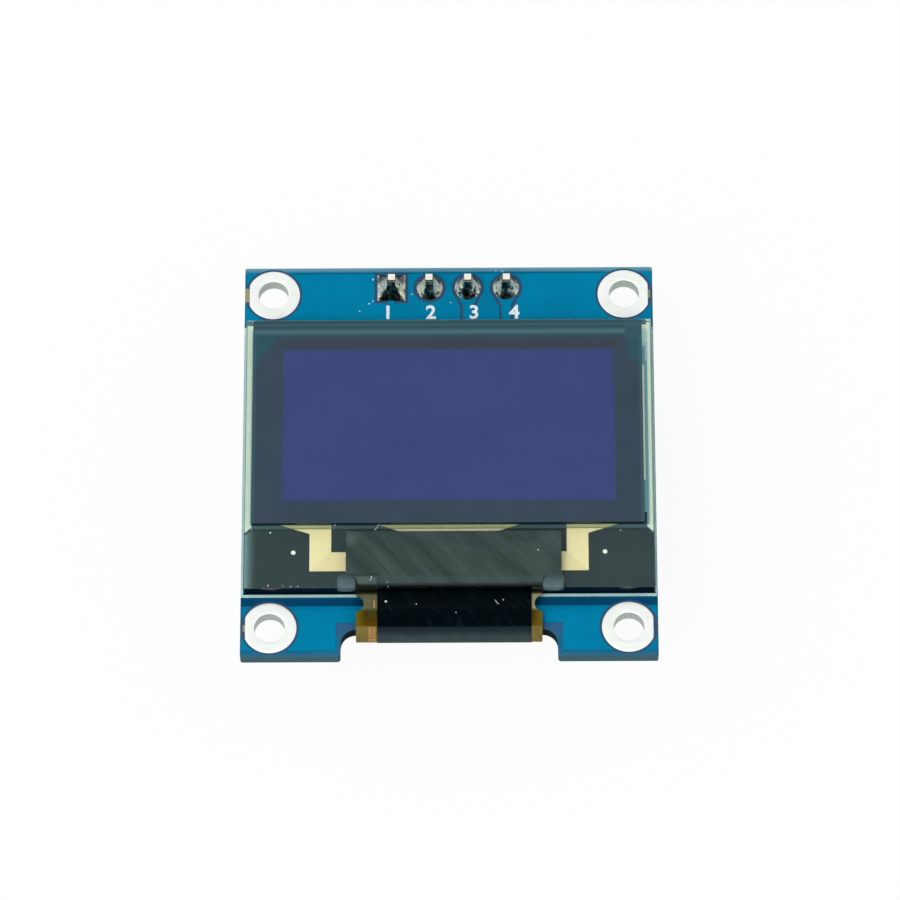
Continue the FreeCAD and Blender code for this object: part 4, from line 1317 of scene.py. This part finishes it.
def path_steps(start_y, end_y):
    """The straight and turning parts of the flex: level, down in an S, round the notch, back."""
    bend_middle_z = tail_middle_z + film_bend_radius
    inner = film_bend_radius - film_thickness / 2
    edge_reach = bend_middle_z - board_rear_z + film_bend_gap
    bend_y = notch_top_y + math.sqrt(inner**2 - edge_reach**2)
    drop = film_middle_z - (tail_middle_z + 2 * film_bend_radius)
    turn = math.acos(1 - drop / (2 * film_drop_radius))
    run = 2 * film_drop_radius * math.sin(turn)
    return [
        ("line", start_y - film_level_end_y),
        ("turn", film_drop_radius, turn),
        ("turn", film_drop_radius, -turn),
        ("line", film_level_end_y - run - bend_y),
        ("turn", film_bend_radius, math.pi),
        ("line", end_y - bend_y),
    ]


def path_points(start_y, end_y, per_turn=28):
    """Places along the middle of the flex, each with the direction that faces out of the bend."""
    y, z, heading = start_y, film_middle_z, math.pi
    places = []
    for step in path_steps(start_y, end_y):
        if step[0] == "line":
            count = max(2, int(step[1] / 0.06))
            for i in range(count):
                along = step[1] * i / count
                point = (y + along * math.cos(heading), z + along * math.sin(heading))
                places.append((*point, math.sin(heading), -math.cos(heading)))
            y += step[1] * math.cos(heading)
            z += step[1] * math.sin(heading)
            continue
        radius, sweep = step[1], step[2]
        reach = math.copysign(radius, sweep)
        centre_y = y - reach * math.sin(heading)
        centre_z = z + reach * math.cos(heading)
        for i in range(per_turn):
            turned = heading + sweep * i / per_turn
            point = (centre_y + reach * math.sin(turned), centre_z - reach * math.cos(turned))
            places.append((*point, math.sin(turned), -math.cos(turned)))
        heading += sweep
        y = centre_y + reach * math.sin(heading)
        z = centre_z - reach * math.cos(heading)
    places.append((y, z, math.sin(heading), -math.cos(heading)))
    return places


def bent_sheet(name, places, limits, levels, finish, slot_name, node):
    """A thin sheet along a path; the limits give its sides at each place, the levels its faces."""
    columns = 12
    points = []
    for level in levels:
        for (y, z, out_y, out_z), (left, right) in zip(places, limits):
            for c in range(columns + 1):
                x = left + (right - left) * c / columns
                points.append((x, y + level * out_y, z + level * out_z))
    faces = sheet_faces(len(places) - 1, columns)
    piece = solid(name, points, faces, finish, slot_name)
    sharpen(piece)
    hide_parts(node)


def film_limits(y, z):
    """The sides of the film at one place: narrow, with two bites, then flared to the tail."""
    half = film_half_width
    if z > 0.0 and abs(y - bite_y) < bite_radius:
        sag = math.sqrt(bite_radius**2 - (y - bite_y) ** 2)
        half = min(half, film_half_width - bite_depth + bite_radius - sag)
    if z < -0.9 and y > tail_start_y - tail_neck_radius:
        rise = min(tail_neck_radius, y - (tail_start_y - tail_neck_radius))
        half += tail_neck_radius - math.sqrt(tail_neck_radius**2 - rise**2)
        if y > tail_start_y:
            half = tail_half_width
    return -half, half


def make_flex():
    """The flex: amber film with bites and a wide tail, and the black coverlay on it."""
    half = film_thickness / 2
    places = path_points(film_start_y, tail_end_y)
    limits = [film_limits(place[0], place[1]) for place in places]
    bent_sheet("film", places, limits, (-half, half), film_finish, "amber_film", "flex_film")
    places = path_points(cover_start_y, cover_end_y)
    limits = [(cover_left_x, cover_right_x)] * len(places)
    levels = (half, half + cover_thickness)
    bent_sheet("coverlay", places, limits, levels, cover_finish, "black_coverlay", "flex_coverlay")


def make_tape():
    """The shield tape: a thin wrinkled sheet with ragged edges and a tongue over the flex."""
    left, right, top, bottom = tape_limits
    tongue_left, tongue_right, tongue_end = tongue_limits
    columns, rows = 140, 40
    points = []
    for level in (0, 1):
        for r in range(rows + 1):
            for c in range(columns + 1):
                x = left + (right - left) * c / columns
                inside = min(x - tongue_left, tongue_right - x)
                end = bottom + (tongue_end - bottom) * max(0.0, min(1.0, inside / 0.16 + 0.5))
                ragged = 0.03 * noise.noise(Vector((x * 2.3, 4.0, 0.0)))
                y = top + (end - top) * r / rows + ragged * (r / rows - 0.5)
                swell = 0.5 + noise.noise(Vector((x * 0.9, y * 0.9, 2.0)))
                fold = max(0.0, noise.noise(Vector(((x + y) * 1.6, (x - y) * 0.3, 5.0))))
                if c in (0, columns):
                    x += 0.02 * noise.noise(Vector((y * 3.0, c / columns * 9.0, 7.0)))
                height = level * (tape_thickness - 0.02 + 0.012 * swell + 0.02 * fold)
                points.append((x, y, tape_rear_z + min(height, tape_thickness)))
    tape = solid("tape", points, sheet_faces(rows, columns), tape_finish, "dark_tape")
    sharpen(tape, 50)
    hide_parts("shield_tape")


def make_glue_tabs():
    """Two drops of clear glue over the lower edge of the glass, rounded at every side."""
    levels, turns = 12, 48
    for name, side, outer_x in (("left", -1, 7.26), ("right", 1, 7.46)):
        low, high = (6.04 * side, -9.86, 0.78), (outer_x * side, -8.7, 1.45)
        middle = [(a + b) / 2 for a, b in zip(low, high)]
        reach = [abs(b - a) / 2 for a, b in zip(low, high)]
        points = []
        for i in range(levels + 1):
            share = math.sin(math.pi * (i / levels - 0.5))
            narrow = (1 - abs(share) ** 4) ** 0.25 if abs(share) < 0.999 else 0.02
            for j in range(turns):
                angle = 2 * math.pi * j / turns
                out = rounded_reach(angle, narrow, 3.2)
                x = middle[0] + reach[0] * out * math.cos(angle)
                y = middle[1] + reach[1] * out * math.sin(angle)
                points.append((x, y, middle[2] + reach[2] * share))
        drop = solid("glue_%s" % name, points, lofted(levels, turns), glue_finish, "glue_resin")
        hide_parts("glue_tab_%s" % name)


def speck_mesh(specks):
    """Loose grains and flakes as small flattened lumps, one after another in one mesh."""
    points, faces = [], []
    rings, sides = 4, 9
    for x, y, z, size in specks:
        start = len(points)
        stretch = 0.7 + 0.6 * random.random()
        for ring in range(rings):
            tilt = ring * math.pi / 2 / rings
            for j in range(sides):
                angle = 2 * math.pi * j / sides
                reach = size * math.cos(tilt) * (0.8 + 0.4 * random.random())
                shift = (reach * stretch * math.cos(angle), reach / stretch * math.sin(angle))
                points.append((x + shift[0], y + shift[1], z + size * 0.5 * math.sin(tilt)))
        points.append((x, y, z + size * 0.5))
        top = len(points) - 1
        last = top - sides
        faces.append(tuple(start + j for j in reversed(range(sides))))
        faces += ring_faces(rings - 1, sides, start)
        faces += [(last + j, last + (j + 1) % sides, top) for j in range(sides)]
    return points, faces


def make_specks():
    """Flux crumbs round the header, and dust on the glass, tape and coverlay."""
    board, glass = copper_lift, tape_rear_z
    crumbs = [
        *[(-5.04, 13.12, board, 0.07), (-4.58, 13.24, board, 0.09), (-3.03, 13.3, board, 0.07)],
        *[(-5.29, 11.34, board, 0.06), (-5.03, 11.52, board, 0.05), (-5.92, 10.78, board, 0.05)],
        *[(-2.46, 12.04, board, 0.05), (3.14, 13.74, board, 0.05), (3.58, 13.7, board, 0.05)],
        (0.12, 11.4, board, 0.05),
    ]
    dust = [
        *[(-11.62, -5.87, glass, 0.07), (11.16, -5.78, glass, 0.04), (5.8, -7.17, 1.45, 0.045)],
        *[(-5.02, -9.04, 1.45, 0.05), (-11.73, -9.6, glass, 0.05), (-10.76, -9.62, glass, 0.035)],
        *[(-10.24, -9.66, glass, 0.04), (-9.79, -9.68, glass, 0.035), (1.04, -5.62, glass, 0.04)],
        (-7.42, -5.35, glass, 0.04),
    ]
    fluff = [
        *[(-4.1, -10.44, 0.7, 0.08), (-2.12, -10.63, 0.68, 0.04), (3.52, -10.36, 0.7, 0.045)],
        (0.44, -11.17, 0.55, 0.035),
    ]
    for name, specks in (("flux_crumbs", crumbs), ("glass_dust", dust), ("cover_dust", fluff)):
        solid(name, *speck_mesh(specks), speck_finish, mask_slot)


def make_lint():
    """Short white fibres that lie on the tape, the glass and the coverlay."""
    fibres = [
        [(-4.0, -9.36, 1.44), (-4.06, -9.5, 1.42), (-4.02, -9.62, 1.36), (-3.92, -9.7, 1.3)],
        [(-4.56, -5.36, 1.52), (-4.63, -5.45, 1.5), (-4.72, -5.6, 1.45), (-4.84, -5.72, 1.43)],
        [(-5.16, -9.28, 1.47), (-5.08, -9.22, 1.48), (-4.98, -9.16, 1.48)],
        [(2.98, -10.4, 0.78), (3.06, -10.5, 0.75), (3.12, -10.6, 0.72), (3.22, -10.66, 0.7)],
    ]
    for number, points in enumerate(fibres, 1):
        curve = bpy.data.curves.new("lint", "CURVE")
        curve.dimensions = "3D"
        curve.bevel_depth = 0.018 * MM
        curve.use_fill_caps = True
        spline = add_spline(curve, "NURBS", points)
        spline.use_endpoint_u = True
        spline.order_u = 3
        name = "lint_%d" % number
        new_piece(name, curve_mesh(curve, name), speck_finish, True)


def node_limits(name):
    """The limits of a node in X and Y, in millimetres."""
    low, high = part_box(name)
    return (low[0] / MM, high[0] / MM), (low[1] / MM, high[1] / MM)


def rear_columns(names):
    """The middle of each part in X."""
    return [sum(node_limits(name)[0]) / 2 for name in names]


def make_rear_copper():
    """Copper on the rear: a pour with gaps round the rings, pads and parts, and tracks to the flex."""
    levels = (board_rear_z - copper_lift, board_rear_z)
    x, y = ring_places[1]
    upper, upper_island = corner_pour(x, y, pour_top_y)
    lower, lower_island = corner_pour(x, -y, pour_bottom_y)
    notch = [(pour_notch_x, pour_bottom_y), (pour_notch_x, pour_notch_y)]
    outlines = [closed_by_mirror([*reversed(upper), *lower, *notch]), upper_island, lower_island]
    outlines += [mirrored(upper_island), mirrored(lower_island)]
    outlines += [boxed((-10.4, 10.4), (-7.5, -2.1)), boxed((-9.6, 9.6), (-0.2, 2.5))]
    for x in pin_places_x[1:]:
        outlines.append(boxed((x - track_gap_half, x + track_gap_half), (3.0, 11.6)))
    copper("rear_copper", outlines, levels)

    tracks = [(x, track_half_width, 3.3, 11.6) for x in pin_places_x[1:]]
    for number, x in enumerate(contact_places_x):
        tracks.append((x, 0.12, -7.35, -6.5 + 0.42 * (number % 3)))
    for x in rear_columns(capacitor_names):
        tracks += [(x, 0.62, -4.72, -3.86), (x, 0.62, -3.34, -2.48)]
    for x in rear_columns(resistor_names):
        tracks += [(x, 0.58, 0.02, 0.9), (x, 0.58, 1.5, 2.36)]
    outlines = [boxed((x - half, x + half), (low, high)) for x, half, low, high in tracks]
    copper("rear_tracks", outlines, levels)


def make_vias():
    """Small plated vias, sunk in the solder mask of the rear."""
    places = [(x, -6.2 + 0.42 * (number % 3)) for number, x in enumerate(contact_places_x)]
    places += [(x, y) for x in (-12.2, 12.2) for y in (-6.0, -1.5, 3.0, 7.5)]
    places += [(x, 4.6) for x in (-8.6, -5.4, 5.4, 8.6)]
    places += [(x, 3.3) for x in pin_places_x[1:]]
    section = [(0.08, -1.05), (0.1, -1.058), (0.17, -1.058), (0.2, -1.05), (0.2, -1.0), (0.08, -1.0)]
    for number, (x, y) in enumerate(places, 1):
        turned_solid("via_%d" % number, section, x, y, pour_finish, mask_slot, 20)


def make_rear_legend():
    """White frames round the parts on the rear, and plain numbers beside the header."""
    top = board_rear_z - copper_lift
    frames = []
    for name in [*capacitor_names, *resistor_names, "regulator_body", "diode_body"]:
        (left, right), (low, high) = node_limits(name)
        for out in (frame_margin, frame_margin - frame_line):
            frames.append(boxed((left - out, right + out), (low - out, high + out)))
    flat_plate("rear_frames", frames, (top - 0.02, top), legend_ink, 0.006)
    for number, x in enumerate(pin_places_x, 1):
        name = "rear_number_%d" % number
        mesh = number_mesh(name, number, 1.3, 0.03, 0.01)
        mesh.transform(Matrix.Rotation(math.pi, 4, "Y"))
        mesh.transform(Matrix.Translation(((x - 0.9) * MM, 8.9 * MM, (top - 0.01) * MM)))
        new_piece(name, mesh, legend_ink)


def make_floor():
    """A white floor below the pins that keeps a faint shadow of the part."""
    finish = bpy.data.materials.new("white_floor")
    finish.use_nodes = True
    n = Nodes(finish.node_tree)
    n.tree.nodes.clear()
    rays = n.add("ShaderNodeLightPath").outputs
    seen = n.either(rays["Is Camera Ray"], rays["Is Glossy Ray"])
    seen = n.either(seen, rays["Is Transmission Ray"])
    matt = n.plain_shader("BsdfDiffuse", Color=paint((245, 245, 245)))
    glow = n.plain_shader("Emission", Color=paint((255, 255, 255)), Strength=1.0)
    inputs = {0: n.both(seen, floor_glow_share), 1: matt, 2: glow}
    mixed = n.add("ShaderNodeMixShader", inputs).outputs[0]
    n.add("ShaderNodeOutputMaterial", {"Surface": mixed})
    level = cad_box[0][2] - floor_gap * MM
    reach = floor_half_width * MM
    corners = [(x, y, level) for x, y in boxed((-reach, reach), (-reach, reach))]
    mesh = bpy.data.meshes.new("floor")
    mesh.from_pydata(corners, [], [(0, 1, 2, 3)])
    mesh.materials.append(finish)
    floor = bpy.data.objects.new("floor", mesh)
    bpy.context.scene.collection.objects.link(floor)


def make_sky():
    """Soft light from both sides, dimmer in a band overhead, with a white backdrop all round."""
    world = bpy.data.worlds.new("studio")
    bpy.context.scene.world = world
    world.use_nodes = True
    n = Nodes(world.node_tree)
    n.tree.nodes.clear()
    direction = n.axes(n.add("ShaderNodeTexCoord").outputs["Generated"])
    sideways = n.maths("ABSOLUTE", direction[0])
    strength = n.spread(sideways, sky_middle_end, sky_side_start, sky_middle, sky_side)
    white_paint = paint((255, 255, 255))
    soft = n.plain_shader("Background", Color=white_paint, Strength=strength)
    white = n.plain_shader("Background", Color=white_paint, Strength=1.0)
    rays = n.add("ShaderNodeLightPath").outputs
    backdrop = n.maths("LESS_THAN", n.maths("ABSOLUTE", direction[2]), backdrop_height)
    mirrored_ray = n.both(rays["Is Glossy Ray"], backdrop)
    seen = n.either(n.either(rays["Is Camera Ray"], rays["Is Transmission Ray"]), mirrored_ray)
    mixed = n.add("ShaderNodeMixShader", {0: seen, 1: soft, 2: white}).outputs[0]
    n.add("ShaderNodeOutputWorld", {"Surface": mixed})


def make_key_lamp():
    """A wide soft lamp above the left front corner."""
    lamp = bpy.data.lights.new("softbox", "AREA")
    lamp.shape = "DISK"
    lamp.size = key_size * MM
    lamp.energy = key_power
    holder = bpy.data.objects.new("softbox", lamp)
    holder.location = Vector(key_place) * MM
    holder.rotation_mode = "QUATERNION"
    holder.rotation_quaternion = Vector(key_place).to_track_quat("Z", "Y")
    bpy.context.scene.collection.objects.link(holder)


def make_camera():
    """The photograph's viewpoint: a long lens, tilted a little from straight above."""
    data = bpy.data.cameras.new("camera")
    data.sensor_width = camera_sensor
    data.lens = camera_lens
    data.clip_start = 0.01
    data.clip_end = 10.0
    right, up = Vector(camera_right).normalized(), Vector(camera_up).normalized()
    back = right.cross(up).normalized()
    up = back.cross(right)
    turn = Matrix((right, up, back)).transposed().to_4x4()
    camera = bpy.data.objects.new("camera", data)
    camera.matrix_world = Matrix.Translation(Vector(camera_place) * MM) @ turn
    bpy.context.scene.collection.objects.link(camera)
    bpy.context.scene.camera = camera


bpy.context.scene.view_settings.view_transform = "Standard"
make_camera()
make_sky()
make_key_lamp()
make_floor()
dress_nodes()
make_board()
make_lower_pour()
make_upper_pour()
make_resin_frame()
make_rings()
make_pins()
make_solder_joints()
make_legend_numbers()
make_outline_ink()
make_flex()
make_tape()
make_glue_tabs()
make_specks()
make_lint()
make_rear_copper()
make_vias()
make_rear_legend()
